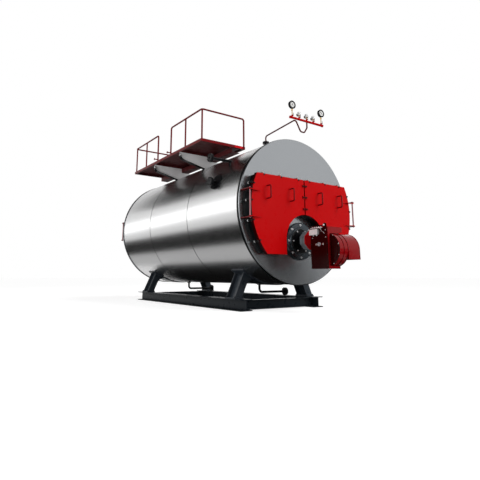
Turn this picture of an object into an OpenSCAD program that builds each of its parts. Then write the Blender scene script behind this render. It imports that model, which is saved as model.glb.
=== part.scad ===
// Horizontal fire-tube steam boiler on a skid, with a forced-draught burner at the front
// Millimetres, +Z up, front towards -Y, ground at z = 0, boiler axis over x = 0
// Inside the modules y counts from the front plate's face; face_y puts the origin at mid-length

/* [Shell] */
// Radius of the front and rear end plates
end_r = 1400; // [1250:10:1600]
// How far an end plate stands out over the cladding
plate_lip = 12; // [6:1:30]
// Thickness of cladding, lagging and steel together
shell_wall = 110; // [60:5:200]
// Length from the front plate's face to the rear plate's face
shell_len = 5500; // [4800:50:8000]
// Length of the front cladding section
front_ring = 1793; // [1600:1:2000]
// Length of the rear cladding section
rear_ring = 1740; // [1000:10:2000]
// Bevel at a cladding section's ends
seam_bevel = 5; // [2:1:10]
// Height of the cladding over the skid beams
shell_gap = 253; // [200:1:400]
// Thickness of an end plate
end_t = 60; // [30:5:100]
// Rounding of an end plate's rim
end_round = 20; // [5:1:28]

/* [Smoke box doors] */
// Distance of the doors' curved sides from the end plate's rim
door_inset = 140; // [110:5:200]
// Height of the doors' top edge over the boiler axis
door_top = 552; // [420:1:700]
// Depth of the doors' bottom edge under the boiler axis
door_low = 855; // [780:1:900]
// Thickness of a door leaf
door_t = 70; // [40:5:90]
// Half of the gap between the two leaves
leaf_gap = 12; // [11:1:20]
// Radius of the arch that clears the burner
arch_r = 480; // [440:5:520]
// Depth of the burner axis under the boiler axis
burner_drop = 592; // [540:1:650]
// Depth of the smoke box collar in front of the end plate
collar_d = 115; // [100:5:140]
// Wall of the smoke box collar
collar_wall = 14; // [8:1:30]
// Inset of the collar from the door's edge
collar_inset = 22; // [16:1:40]
// Running gap between a leaf and the collar
leaf_clear = 5; // [5:1:10]
// Length of a clamp lug on a leaf
ear_len = 44; // [30:2:60]
// Reach of a clamp lug past a leaf's edge
ear_out = 24; // [15:1:30]
// Reach of a bolt lug past the collar
lug_out = 76; // [50:1:90]
// Thickness of a bolt lug
lug_t = 14; // [8:1:20]

/* [Door hinges] */
// Distance of a hinge rod from the end plate's rim
hinge_inset = 85; // [70:5:90]
// Distance of a hinge rod in front of the end plate
hinge_y = 222; // [215:1:260]
// Height of the upper hinge plate over the boiler axis
hinge_up = 232; // [200:1:260]
// Depth of the lower hinge plate under the boiler axis
hinge_down = 240; // [200:1:260]
// Radius of a hinge rod
rod_r = 14; // [10:1:20]
// Radial running clearance on a hinge rod
rod_clear = 0.3; // [0.1:0.1:1]
// Radius of a hinge eye
eye_r = 32; // [26:1:40]
// Thickness of a hinge plate
plate_t = 12; // [8:1:20]
// Reach of a hinge plate over the leaf
strap_len = 280; // [150:10:330]

/* [Door handles] */
// Distance of the outer handle from the middle plane
handle_out_x = 915; // [800:5:950]
// Distance of the inner handle from the middle plane
handle_in_x = 366; // [150:5:500]
// Height of a handle
handle_h = 226; // [140:2:300]
// Stand-off of a handle's grip
handle_off = 110; // [60:5:150]
// Radius of a handle's bar
handle_r = 12; // [8:1:16]
// Bend radius of a handle's bar
handle_bend = 28; // [18:1:45]
// Height of a handle's middle over the boiler axis
handle_z = 222; // [0:1:260]

/* [Skid] */
// Distance of a beam's web from the middle plane
beam_x = 910; // [800:10:1000]
// Height of a skid beam
beam_h = 207; // [150:1:300]
// Width of a beam's flange
beam_w = 264; // [200:2:300]
// Thickness of a beam's flange
flange_t = 16; // [10:1:24]
// Thickness of a beam's web
web_t = 12; // [8:1:20]
// Front end of the beams behind the front plate's face
beam_front = 440; // [300:10:560]
// Rear end of the beams before the rear plate's face
beam_rear = 394; // [200:1:500]
// Set-back of the cross channels from the beam ends
cross_back = 90; // [40:5:140]
// Flange width of a cross channel
cross_w = 90; // [60:5:110]

/* [Saddles] */
// Front saddle's centre behind the front plate's face
saddle_front = 829; // [800:1:1000]
// Rear saddle's centre before the rear plate's face
saddle_rear = 783; // [750:1:1000]
// Depth of a saddle leg along the boiler
leg_d = 290; // [200:5:330]
// Width of a saddle leg across the boiler
leg_w = 166; // [120:2:220]
// Inward lean of a leg for each unit of height
leg_lean = 0.45; // [0.3:0.05:0.5]
// Radius where a leg widens into the shell
leg_fillet = 190; // [100:5:260]
// Thickness of a foot plate
foot_t = 25; // [12:1:40]
// Thickness of the saddle pad on the shell
pad_t = 16; // [10:1:30]
// Width of the saddle pad along the boiler
pad_w = 380; // [340:10:420]
// Half of the angle that a saddle pad covers
pad_turn = 37; // [35:1:50]

/* [Burner] */
// Radius of the burner's mounting plate
mount_r = 350; // [300:5:400]
// Thickness of the mounting plate
mount_t = 55; // [40:1:60]
// Front end of the blast tube in front of the end plate
throat_y = 187; // [150:1:220]
// Radius of the blast tube
throat_r = 130; // [100:2:145]
// Radius of the blast tube's gasket ring
gasket_r = 215; // [180:5:240]
// Thickness of the octagonal flange
octagon_t = 118; // [80:2:140]
// Half width of the octagonal flange
octagon_r = 157; // [146:1:170]
// Half width of the octagonal burner head
head_r = 176; // [172:1:200]
// Length of the burner head
head_len = 175; // [150:5:220]
// Length of the bevel at the burner head's rear
head_bevel = 45; // [20:1:80]
// Width of the burner casing's back plate and top
case_w = 360; // [340:10:420]
// Length of the burner casing
case_len = 400; // [360:1:430]
// Thickness of the casing's back plate
case_back = 15; // [8:1:16]
// Height of the casing's top over the burner axis
case_up = 192; // [185:1:240]
// Depth of the casing's bottom under the burner axis
case_down = 515; // [495:5:550]
// Height of the damper lever's pin over the casing's top
lever_up = 26; // [20:1:50]

/* [Burner fan] */
// Radius of the fan housing
fan_r = 290; // [270:5:292]
// Width of the fan housing
fan_w = 220; // [180:5:260]
// Depth of the fan axis under the burner axis
fan_drop = 196; // [180:1:215]
// Distance of the fan axis in front of the end plate
fan_y = 790; // [785:1:840]
// Left face of the fan housing from the middle plane
fan_x = -120; // [-150:5:-90]
// Depth of the stepped bands in the fan housing
fan_step = 8; // [4:1:12]
// Radius of the fan's intake
intake_r = 180; // [120:5:200]
// Depth of the fan's intake
intake_d = 95; // [60:5:130]
// Width of the air intake hood
hood_w = 290; // [200:5:350]
// Depth of the hood's open bottom under the fan axis
hood_low = 165; // [120:5:230]
// Wall of the intake hood
hood_wall = 6; // [4:1:10]

/* [Gauge set] */
// Distance of the top nozzle behind the front plate's face
nozzle_y = 915; // [600:5:1200]
// Height of the top nozzle over the shell
nozzle_h = 225; // [150:5:260]
// Radius of the gauge pipe
gauge_pipe_r = 15; // [10:1:18]
// Bend radius of the gauge pipe
gauge_bend = 52; // [30:1:54]
// Height of the gauge pipe's riser on the nozzle
riser_h = 124; // [110:1:180]
// Height of the gauge pipe's front end over the shell
pipe_up = 436; // [420:1:445]
// Depth of the siphon under the manifold bar
siphon_h = 252; // [220:1:280]
// Distance of the siphon's riser from the middle plane
siphon_x = 312; // [280:1:340]
// Radius of the manifold bar
bar_r = 24; // [15:1:25]
// Left end of the manifold bar
bar_x0 = -135; // [-300:5:-110]
// Length of the manifold bar
bar_len = 895; // [890:5:1200]
// Height of the manifold bar over the shell
bar_z = 462; // [440:1:500]
// Distance of the manifold bar in front of the end plate
bar_y = 15; // [0:5:60]
// Height of the cocks on the manifold bar
cock_h = 60; // [50:1:80]
// Radius of a pressure gauge
gauge_r = 84; // [50:1:90]
// Thickness of a pressure gauge
gauge_t = 50; // [35:1:70]
// Height of a gauge's centre over the bar
gauge_up = 266; // [200:1:320]
// Radius of a pressure switch
switch_r = 38; // [28:1:46]
// Height of a pressure switch
switch_h = 104; // [80:1:130]

/* [Platform] */
// Distance of the platform's left edge inside the cladding's side
deck_inset = 38; // [0:1:120]
// Width of the platform
deck_w = 1130; // [1000:10:1200]
// Front edge of the platform behind the front plate's face
deck_front = 1370; // [1200:10:1600]
// Rear edge of the platform before the rear plate's face
deck_rear = 570; // [200:10:900]
// Height of the platform frame's underside over the shell
deck_gap = 124; // [110:1:200]
// Height of the platform's edge channels
edge_h = 60; // [50:2:100]
// Flange width of the platform's edge channels
edge_w = 46; // [40:1:60]
// Wall of the platform's channels
edge_t = 6; // [4:1:8]
// Thickness of the deck plate
deck_t = 6; // [4:1:10]
// Height of the keel channel under the platform
keel_h = 105; // [80:1:109]
// Width of the keel channel
keel_w = 200; // [120:5:240]
// Distance of the keel channel's left side from the platform's right edge
keel_in = 340; // [310:5:370]
// Distance of the front bracket behind the platform's front edge
bracket_front = 970; // [700:10:1100]
// Distance of the rear bracket before the platform's rear edge
bracket_rear = 1240; // [900:10:1500]
// Depth of a bracket's lower edge under the platform
bracket_h = 218; // [180:1:240]
// Width of a bracket's lower flange
bracket_w = 90; // [50:2:140]
// Reach of a bracket's foot under the keel channel
foot_in = 250; // [150:5:290]
// Height of the guard rail over the platform's underside
rail_h = 710; // [600:10:1100]
// Radius of a rail tube
rail_r = 19; // [12:1:20]
// Bend radius of a rail tube
rail_bend = 50; // [45:5:150]
// Reach of the ladder studs out of the gap posts
stud_len = 98; // [60:1:105]

/* [Side pipes] */
// Distance of the level connections behind the front plate's face
level_y = 899; // [700:1:1100]
// Height of the upper level connection over the boiler axis
level_up = 1020; // [950:1:1080]
// Height of the lower level connection over the boiler axis
level_low = 555; // [450:1:700]
// Reach of a level connection past the cladding's side
level_out = 50; // [40:1:80]
// Radius of a level connection's pipe
level_r = 30; // [20:1:38]
// Radius of a level connection's flange
level_flange_r = 83; // [60:1:95]
// Radius of the rosette round the lower level connection
rosette_r = 160; // [100:5:170]
// Distance of the front drain behind the front plate's face
drain_front = 1206; // [1180:1:1500]
// Distance of the rear drain before the rear plate's face
drain_rear = 1310; // [1180:1:1600]
// Radius of a drain pipe
drain_r = 24; // [15:1:30]
// Bend radius of a drain pipe
drain_bend = 70; // [50:1:90]
// Height of the drain's run over the skid beams
drain_up = 89; // [85:1:110]
// Reach of the drain's flange from the middle plane
drain_reach = 680; // [500:5:720]

/* [Flue] */
// Radius of the flue outlet
flue_r = 230; // [180:5:250]
// Wall of the flue outlet
flue_wall = 8; // [5:1:15]
// Height of the flue outlet over the boiler axis
flue_up = 930; // [880:1:960]
// Length of the flue outlet
flue_len = 180; // [100:5:300]
// Radius of the rear inspection hatch
hatch_r = 300; // [220:5:340]

/* [Hidden] */
$fn = 96;
eps = 1;
seat = 0.3;
keel_x = deck_w - keel_in;
shell_r = end_r - plate_lip;
axis_z = beam_h + shell_gap + shell_r;
shell_top = axis_z + shell_r;
shell_cut1 = end_t + front_ring;
shell_cut2 = shell_len - end_t - rear_ring;
door_r = end_r - door_inset;
hinge_x = end_r - hinge_inset;
door_back = collar_d + leaf_clear;
door_face = door_back + door_t;
top_clamps = [143, 569, 972];
side_clamps = [16.6, 2.5, -13.3, -30.2];
seam_clamps = [430, 215, -6];
burner_z = axis_z - burner_drop;
fan_z = burner_z - fan_drop;
case_y = throat_y + octagon_t + head_len;
case_front = case_y + case_len;
case_top = burner_z + case_up;
case_low = burner_z - case_down;
fan_right = fan_x + fan_w;
manifold_z = shell_top + bar_z;
gauge_places = [-85, 731];
switch_places = [105, 312, 500];
deck_x0 = -shell_r + deck_inset;
deck_y1 = shell_len - deck_rear;
deck_z = shell_top + deck_gap;
deck_top = deck_z + edge_h;
post_gap = (deck_y1 - deck_front - 2 * rail_r) / 5;
level_x = shell_r + level_out;
drain_z = beam_h + drain_up;
front_reach = fan_y + fan_r;
rear_reach = shell_len + door_face + handle_off + handle_r;
face_y = -(rear_reach - front_reach) / 2;
steel_blue = [0.20, 0.23, 0.27];
burner_red = [0.62, 0.04, 0.05];
door_red = [0.78, 0.05, 0.05];
dark = [0.10, 0.10, 0.11];

// Moves a piece from the front plate's own frame into the part's frame
module at_face() {
  translate([0, face_y, 0]) children();
}

// Places a shape drawn along Z so that it runs backwards from y0 on the boiler axis
module on_axis(y0) {
  translate([0, y0, axis_z]) rotate([-90, 0, 0]) children();
}

// Repeats a front piece at the rear, face for face
module at_rear() {
  translate([0, shell_len, 0]) mirror([0, 1, 0]) children();
}

// Repeats a left piece at the right
module at_right() {
  mirror([1, 0, 0]) children();
}

// Extrudes a profile drawn in X and Z forwards from the plane y = -y0
module forwards(y0, t, z0 = axis_z) {
  translate([0, -y0, z0]) rotate([90, 0, 0]) linear_extrude(t) children();
}

// Everything inside the cladding's outer face, with the seating gap
module shell_core() {
  on_axis(0) cylinder(h = shell_len, r = shell_r + seat, $fn = 180);
}

function unit(v) = v / norm(v);

// Length of straight bar that the bend at a point uses up
function cut_back(points, i, b) = i == 0 || i == len(points) - 1 ? 0 :
  b * tan(acos(unit(points[i] - points[i - 1]) * unit(points[i + 1] - points[i])) / 2);

// One straight round bar from p to q
module bar(p, q, r) {
  v = q - p;
  len = norm(v);
  translate(p) rotate([0, acos(v.z / len), atan2(v.y, v.x)]) cylinder(h = len, r = r, $fn = 32);
}

// A bend of radius b at corner c, from direction u into direction v
module bend(c, u, v, r, b) {
  turn = acos(u * v);
  n = unit(cross(u, v));
  m = cross(n, u);
  o = c - u * b * tan(turn / 2) + m * b;
  multmatrix([[-m.x, u.x, n.x, o.x], [-m.y, u.y, n.y, o.y], [-m.z, u.z, n.z, o.z], [0, 0, 0, 1]])
    rotate_extrude(angle = turn, $fn = 64) translate([b, 0]) circle(r = r, $fn = 32);
}

// A bent round bar through a list of points, whose straights may lap into the bends
module tube_run(points, r, b, lap = 0) {
  last = len(points) - 1;
  for (i = [0 : last - 1]) {
    u = unit(points[i + 1] - points[i]);
    start = i == 0 ? 0 : cut_back(points, i, b) - lap;
    end = i == last - 1 ? 0 : cut_back(points, i + 1, b) - lap;
    bar(points[i] + u * start, points[i + 1] - u * end, r - lap / 12);
  }
  for (i = [1 : len(points) - 2])
    bend(points[i], unit(points[i] - points[i - 1]), unit(points[i + 1] - points[i]), r, b);
}

// One cladding section with bevelled ends, so that a fine groove shows at each seam
module shell_ring(y0, y1) {
  len = y1 - y0;
  color("gainsboro") at_face() on_axis(y0) rotate_extrude($fn = 180)
    polygon([[shell_r - shell_wall, 0], [shell_r - seam_bevel, 0], [shell_r, seam_bevel],
      [shell_r, len - seam_bevel], [shell_r - seam_bevel, len], [shell_r - shell_wall, len]]);
}
module front_shell() shell_ring(end_t, shell_cut1);
module middle_shell() shell_ring(shell_cut1, shell_cut2);
module rear_shell() shell_ring(shell_cut2, shell_len - end_t);

// End plate with a rounded rim
module end_plate() {
  on_axis(0) rotate_extrude($fn = 180) union() {
    square([end_r - end_round, end_t]);
    translate([0, end_round]) square([end_r, end_t - end_round]);
    translate([end_r - end_round, end_round]) circle(r = end_round, $fn = 48);
  }
}
module front_plate() color([0.64, 0.65, 0.66]) at_face() end_plate();
module rear_plate() color([0.64, 0.65, 0.66]) at_face() at_rear() end_plate();

// Outline of both doors together, seen from the front, shrunk by inset
module door_outline(inset) {
  difference() {
    intersection() {
      circle(r = door_r - inset, $fn = 180);
      translate([-end_r, -door_low + inset]) square([2 * end_r, door_low + door_top - 2 * inset]);
    }
    translate([0, -burner_drop]) circle(r = arch_r + inset, $fn = 120);
    translate([-arch_r - inset, -end_r]) square([2 * (arch_r + inset), end_r - burner_drop]);
  }
}

// Flat lug with a round end, reaching to the left out of the collar's wall
module bolt_lug(x) {
  translate([-x - lug_out + ear_len / 2, -ear_len / 2]) square([lug_out - ear_len / 2, ear_len]);
  translate([-x - lug_out + ear_len / 2, 0]) circle(r = ear_len / 2, $fn = 48);
}

module smoke_box() {
  forwards(0, collar_d) difference() {
    door_outline(collar_inset);
    door_outline(collar_inset + collar_wall);
  }
  mullion_low = arch_r - burner_drop + collar_inset + collar_wall / 2;
  mullion_top = door_top - collar_inset - collar_wall / 2;
  forwards(collar_d - 50, 50)
    translate([-45, mullion_low]) square([90, mullion_top - mullion_low]);
  for (side = [0, 1]) mirror([side, 0, 0]) {
    for (a = side_clamps) forwards(collar_d - lug_t - 5, lug_t)
      rotate(-a) bolt_lug(door_r - collar_inset - collar_wall / 2);
    for (x = top_clamps) forwards(collar_d - lug_t - 5, lug_t)
      translate([-x, 0]) rotate(-90) bolt_lug(door_top - collar_inset - collar_wall / 2);
  }
}
module front_smoke_box() color([0.12, 0.13, 0.14]) at_face() smoke_box();
module rear_smoke_box() color([0.12, 0.13, 0.14]) at_face() at_rear() smoke_box();

// Horizontal plate that carries a leaf on its rod
module strap(z0) {
  translate([0, 0, z0]) linear_extrude(plate_t) difference() {
    union() {
      translate([-hinge_x, -hinge_y]) circle(r = eye_r, $fn = 48);
      polygon([[-hinge_x, -hinge_y - eye_r], [-hinge_x + strap_len, -door_face],
        [-hinge_x + eye_r, -door_face], [-hinge_x, -hinge_y]]);
    }
    translate([-hinge_x, -hinge_y]) circle(r = rod_r + rod_clear, $fn = 48);
  }
}

// One leaf with its hinge plates and the clamp lugs along its edges
module left_leaf() {
  forwards(door_back, door_t) intersection() {
    door_outline(0);
    translate([-end_r, -end_r]) square([end_r - leaf_gap, 2 * end_r]);
  }
  strap(axis_z + hinge_up - plate_t);
  strap(axis_z - hinge_down);
  for (a = side_clamps) forwards(door_back, door_t / 2)
    rotate(-a) translate([-door_r - ear_out, -ear_len / 2]) square([2 * ear_out, ear_len]);
  for (x = top_clamps) forwards(door_back, door_t / 2)
    translate([-x - ear_len / 2, door_top - ear_out]) square([ear_len, 2 * ear_out]);
  for (z = seam_clamps) forwards(door_face, lug_t)
    translate([-leaf_gap - ear_len, z - ear_len / 2]) square([ear_len, ear_len]);
}
module front_left_door() color(door_red) at_face() left_leaf();
module front_right_door() color(door_red) at_face() at_right() left_leaf();
module rear_left_door() color(door_red) at_face() at_rear() left_leaf();
module rear_right_door() color(door_red) at_face() at_rear() at_right() left_leaf();

// Bent bar handles that stand on a leaf
module left_handles() {
  z0 = axis_z + handle_z - handle_h / 2;
  z1 = z0 + handle_h;
  y_foot = -door_face;
  y_grip = -door_face - handle_off;
  for (x = [-handle_out_x, -handle_in_x])
    tube_run([[x, y_foot, z0], [x, y_grip, z0], [x, y_grip, z1], [x, y_foot, z1]], handle_r, handle_bend);
}
module front_left_handles() color(door_red) at_face() left_handles();
module front_right_handles() color(door_red) at_face() at_right() left_handles();
module rear_left_handles() color(door_red) at_face() at_rear() left_handles();
module rear_right_handles() color(door_red) at_face() at_rear() at_right() left_handles();

// Fixed plate from the end plate's face to the hinge rod
module bracket(z0) {
  translate([0, 0, z0]) linear_extrude(plate_t) union() {
    translate([-hinge_x, -hinge_y]) circle(r = eye_r, $fn = 48);
    polygon([[-hinge_x - eye_r, -hinge_y], [-hinge_x + eye_r, -hinge_y],
      [-hinge_x + 60, 0], [-hinge_x - 35, 0]]);
  }
}

module hinge_post() {
  low = axis_z - hinge_down - seat - plate_t;
  top = axis_z + hinge_up + 8;
  bracket(low);
  bracket(top);
  translate([-hinge_x, -hinge_y, low - 12])
    cylinder(h = top + plate_t + 24 - low, r = rod_r, $fn = 48);
}
module front_left_hinge() color(burner_red) at_face() hinge_post();
module front_right_hinge() color(burner_red) at_face() at_right() hinge_post();
module rear_left_hinge() color(burner_red) at_face() at_rear() hinge_post();
module rear_right_hinge() color(burner_red) at_face() at_rear() at_right() hinge_post();

// Rolled beam section, upright on the ground, along Y
module beam() {
  beam_len = shell_len - beam_front - beam_rear;
  translate([0, beam_front + beam_len, 0]) rotate([90, 0, 0]) linear_extrude(beam_len) union() {
    translate([-beam_w / 2, 0]) square([beam_w, flange_t]);
    translate([-beam_w / 2, beam_h - flange_t]) square([beam_w, flange_t]);
    translate([-web_t / 2, 0]) square([web_t, beam_h]);
  }
}
module left_beam() color(steel_blue) at_face() translate([-beam_x, 0, 0]) beam();
module right_beam() color(steel_blue) at_face() translate([beam_x, 0, 0]) beam();

// Channel between the two webs, open towards y = y0
module cross_channel() {
  reach = beam_x - web_t / 2 - seat;
  low = flange_t + seat;
  high = beam_h - flange_t - seat;
  translate([-reach, cross_back, 0]) rotate([90, 0, 90]) linear_extrude(2 * reach) union() {
    translate([0, low]) square([cross_w, web_t]);
    translate([0, high - web_t]) square([cross_w, web_t]);
    translate([cross_w - web_t, low]) square([web_t, high - low]);
  }
}
module cross_channels() color(steel_blue) at_face() {
  translate([0, beam_front, 0]) cross_channel();
  translate([0, shell_len - beam_rear, 0]) mirror([0, 1, 0]) cross_channel();
}

// Points of the curve that leads a leaning edge through p into the shell, from edge to shell
function fillet_points(p, r, big_r) =
  let (d = unit([leg_lean, 1]), n = unit([1, -leg_lean]), a = p + n * r - [0, axis_z],
    s = -a * d - sqrt((a * d) * (a * d) - a * a + (big_r + r) * (big_r + r)), c = p + n * r + d * s,
    a0 = atan2(-n.y, -n.x), a1 = atan2(axis_z - c.y, -c.x), turn = (a1 - a0) % 360)
  [for (i = [0 : 8]) c + r * [cos(a0 + turn * i / 8), sin(a0 + turn * i / 8)]];

// Leg profile across the boiler, leaning inwards as it rises and widening into the shell
module leg_profile(x_out, x_in) {
  z0 = beam_h + foot_t;
  rise = axis_z - z0;
  curve = fillet_points([x_in, z0], leg_fillet, shell_r);
  polygon(concat([[x_out, z0], [x_in, z0]], curve,
    [[0, axis_z], [x_in + leg_lean * rise, axis_z], [x_out + leg_lean * rise, axis_z]]));
}

module saddle(y_mid) {
  y0 = y_mid - leg_d / 2;
  x_out = -beam_x - leg_w / 2;
  x_in = -beam_x + leg_w / 2;
  z0 = beam_h + foot_t;
  rise = axis_z - z0;
  difference() {
    for (side = [0, 1]) mirror([side, 0, 0]) {
      translate([0, y0 + flange_t, 0]) rotate([90, 0, 0]) linear_extrude(flange_t) leg_profile(x_out, x_in);
      translate([0, y0 + leg_d, 0]) rotate([90, 0, 0]) linear_extrude(flange_t) leg_profile(x_out, x_in);
      translate([0, y0 + leg_d - flange_t / 2, 0]) rotate([90, 0, 0]) linear_extrude(leg_d - flange_t)
        polygon([[-beam_x - web_t / 2, z0], [-beam_x + web_t / 2, z0],
          [-beam_x + web_t / 2 + leg_lean * rise, axis_z], [-beam_x - web_t / 2 + leg_lean * rise, axis_z]]);
    }
    on_axis(y0 - eps) cylinder(h = leg_d + 2 * eps, r = shell_r + seat + pad_t / 2, $fn = 180);
  }
  for (side = [-1, 1]) translate([side * beam_x - leg_w / 2 - 20, y0 - 20, beam_h])
    cube([leg_w + 40, leg_d + 40, foot_t]);
  on_axis(y_mid - pad_w / 2) rotate(90 - pad_turn) rotate_extrude(angle = 2 * pad_turn, $fn = 180)
    translate([shell_r + seat, 0]) square([pad_t, pad_w]);
}
module front_saddle() color(steel_blue) at_face() saddle(saddle_front);
module rear_saddle() color(steel_blue) at_face() saddle(shell_len - saddle_rear);

// Mounting plate with a bevelled rim and a raised ring round the blast tube
module burner_mount() {
  color([0.25, 0.27, 0.29]) at_face() translate([0, 0, burner_z]) rotate([90, 0, 0]) rotate_extrude($fn = 120)
    polygon([[throat_r + seat, 0], [mount_r, 0], [mount_r, mount_t - 20], [mount_r - 12, mount_t - 8],
      [gasket_r + 45, mount_t - 8], [gasket_r + 37, mount_t], [throat_r + seat, mount_t]]);
}

// Blast tube with its gasket ring
module burner_throat() {
  color(dark) at_face() translate([0, 0, burner_z]) rotate([90, 0, 0]) rotate_extrude($fn = 120)
    polygon([[0, 0], [throat_r, 0], [throat_r, mount_t], [gasket_r, mount_t], [gasket_r, mount_t + 12],
      [gasket_r - 30, mount_t + 12], [gasket_r - 30, mount_t + 30], [throat_r, mount_t + 30],
      [throat_r, throat_y], [0, throat_y]]);
}

// Octagon with its flats level and upright
module octagon(half) {
  rotate(22.5) circle(r = half / cos(22.5), $fn = 8);
}
module burner_flange() {
  color([0.35, 0.37, 0.40]) at_face() {
    forwards(throat_y, octagon_t / 2 - 4, burner_z) octagon(octagon_r);
    forwards(throat_y + octagon_t / 2 - 4, 8, burner_z) octagon(octagon_r - 10);
    forwards(throat_y + octagon_t / 2 + 4, octagon_t / 2 - 4, burner_z) octagon(octagon_r);
  }
}
module burner_head() {
  color(burner_red) at_face() {
    forwards(throat_y + octagon_t + head_bevel, head_len - head_bevel, burner_z) octagon(head_r);
    translate([0, -throat_y - octagon_t, burner_z]) rotate([90, 0, 0])
      linear_extrude(head_bevel, scale = head_r / octagon_r) octagon(octagon_r);
  }
}

// Casing with its cover, inspection boss, sight holes and damper lever
module burner_casing() {
  lever_z = case_top + lever_up;
  side = -case_w / 2;
  color(burner_red) at_face() {
    difference() {
      union() {
        translate([side, -case_front, case_low]) cube([fan_right - side, case_len, case_top - case_low]);
        translate([side, -case_y - case_back, case_low]) cube([case_w, case_back, case_top - case_low]);
        translate([side, -case_front, fan_z + fan_r + 8])
          cube([case_w, case_len, case_top - fan_z - fan_r - 8]);
      }
      translate([fan_x - seat, -fan_y, fan_z]) rotate([0, 90, 0])
        cylinder(h = case_w + fan_w, r = fan_r + seat, $fn = 120);
      for (z = [66, 120]) translate([side + 36, -case_front + 20, case_low + z]) rotate([90, 0, 0])
        cylinder(h = 20 + eps, r = 10, $fn = 24);
    }
    translate([side - 10, -case_front + 25, burner_z - 10]) cube([10, case_len - 50, case_up - 30]);
    translate([side - 14, -case_front + 190, burner_z - 100]) rotate([0, 90, 0])
      cylinder(h = 14, r = 42, $fn = 48);
    difference() {
      union() {
        translate([side - 10, -case_front + 12, case_top - 90]) cube([10, 78, 90 + lever_up]);
        translate([side - 10, -case_front + 51, lever_z]) rotate([0, 90, 0])
          cylinder(h = 10, r = 39, $fn = 48);
      }
      translate([side - 11, -case_front + 51, lever_z]) rotate([0, 90, 0]) cylinder(h = 12, r = 9, $fn = 32);
    }
    translate([side - 24, -case_front + 51, lever_z]) rotate([0, 90, 0]) cylinder(h = 60, r = 9, $fn = 32);
    translate([side + 8, -case_front + 39, lever_z - 9]) cube([20, case_len - 60, 18]);
    translate([side + 8, -case_y - 50, case_top - 1]) cube([20, 29, lever_up]);
  }
}

// Revolved fan housing: a stepped drum with the hub, and the bell-mouthed intake ring bolted to it
module fan_housing() {
  in_r = fan_r - fan_step;
  ring_x = fan_w - intake_d;
  color(burner_red) at_face() translate([fan_x, -fan_y, fan_z]) rotate([0, 90, 0]) {
    rotate_extrude($fn = 120)
      polygon([[0, 14], [fan_r * 0.7, 14], [fan_r * 0.7, 6], [fan_r * 0.8, 6], [fan_r * 0.8, 14],
        [in_r - 24, 14], [in_r - 24, 0], [fan_r, 0], [fan_r, 12], [in_r, 12], [in_r, ring_x - 14],
        [fan_r, ring_x - 14], [fan_r, ring_x], [58, ring_x], [44, fan_w - 30], [0, fan_w - 30]]);
    rotate_extrude($fn = 120)
      polygon([[intake_r, ring_x + seat], [in_r, ring_x + seat], [in_r, fan_w - 12], [fan_r, fan_w - 12],
        [fan_r, fan_w], [intake_r + 22, fan_w], [intake_r, fan_w - 22]]);
  }
}

// Outline of the hood, seen along its axis: half round over straight sides
module hood_outline(r, low) {
  intersection() {
    union() {
      circle(r = r, $fn = 120);
      translate([-r, -low]) square([2 * r, low]);
    }
    translate([-r - eps, -low]) square([2 * r + 2 * eps, low + r + eps]);
  }
}

// Half round hood over the fan's intake, open at the bottom
module intake_hood() {
  hood_r = fan_r - 8;
  color(burner_red) at_face() translate([fan_right, -fan_y, fan_z]) rotate([90, 0, 90]) {
    difference() {
      union() {
        linear_extrude(hood_w) hood_outline(hood_r, hood_low);
        linear_extrude(10) hood_outline(fan_r, hood_low);
        translate([0, 0, hood_w - 10]) linear_extrude(10) hood_outline(hood_r + 5, hood_low);
      }
      translate([0, 0, -eps]) linear_extrude(hood_w + eps - hood_wall) union() {
        hood_outline(hood_r - hood_wall, hood_low);
        translate([-hood_r + hood_wall, -2 * hood_low]) square([2 * (hood_r - hood_wall), 2 * hood_low]);
      }
    }
  }
}

// Terminal box on the casing's left side, with a lid and two glands
module control_box() {
  side = -case_w / 2;
  color([0.55, 0.55, 0.56]) at_face() {
    translate([side - 56, -case_y - 215, burner_z + 66]) cube([46, 180, 88]);
    translate([side - 64, -case_y - 219, burner_z + 62]) cube([8, 188, 96]);
    for (y = [70, 150]) translate([side - 33, -case_y - 30 - y, burner_z + 44])
      cylinder(h = 24, r = 13, $fn = 6);
  }
}

// Neck with a bolted flange pair
module top_nozzle() {
  color(dark) at_face() difference() {
    translate([0, nozzle_y, shell_top]) rotate_extrude($fn = 64)
      polygon([[0, -40], [45, -40], [45, 14], [32, 30], [32, nozzle_h - 52], [70, nozzle_h - 52],
        [70, nozzle_h - 30], [52, nozzle_h - 30], [52, nozzle_h - 26], [70, nozzle_h - 26],
        [70, nozzle_h - 8], [30, nozzle_h - 8], [24, nozzle_h], [0, nozzle_h]]);
    shell_core();
  }
}

// Riser, slanting run and siphon, bent out of one pipe
module gauge_pipe() {
  z0 = shell_top + nozzle_h;
  low = manifold_z - siphon_h;
  color(burner_red) at_face() tube_run([[0, nozzle_y, z0], [0, nozzle_y, z0 + riser_h],
    [0, -bar_y, shell_top + pipe_up], [siphon_x * 0.42, -bar_y, low], [siphon_x * 0.75, -bar_y, low],
    [siphon_x, -bar_y, low + 115], [siphon_x, -bar_y, manifold_z - bar_r]], gauge_pipe_r, gauge_bend, 3);
}

// Bar with a cock under each gauge and switch
module gauge_manifold() {
  color(burner_red) at_face() {
    bar([bar_x0, -bar_y, manifold_z], [bar_x0 + bar_len, -bar_y, manifold_z], bar_r);
    for (x = [bar_x0 - 10, bar_x0 + bar_len - 8])
      bar([x, -bar_y, manifold_z], [x + 18, -bar_y, manifold_z], bar_r + 5);
    for (x = concat(gauge_places, switch_places)) translate([x, -bar_y, manifold_z]) union() {
      cylinder(h = cock_h, r = 11, $fn = 32);
      translate([0, 0, cock_h - 34]) cylinder(h = 24, r = 19, $fn = 6);
      translate([0, 0, cock_h - 22]) rotate([90, 0, 0]) cylinder(h = 34, r = 7, $fn = 32);
    }
  }
}

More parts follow.
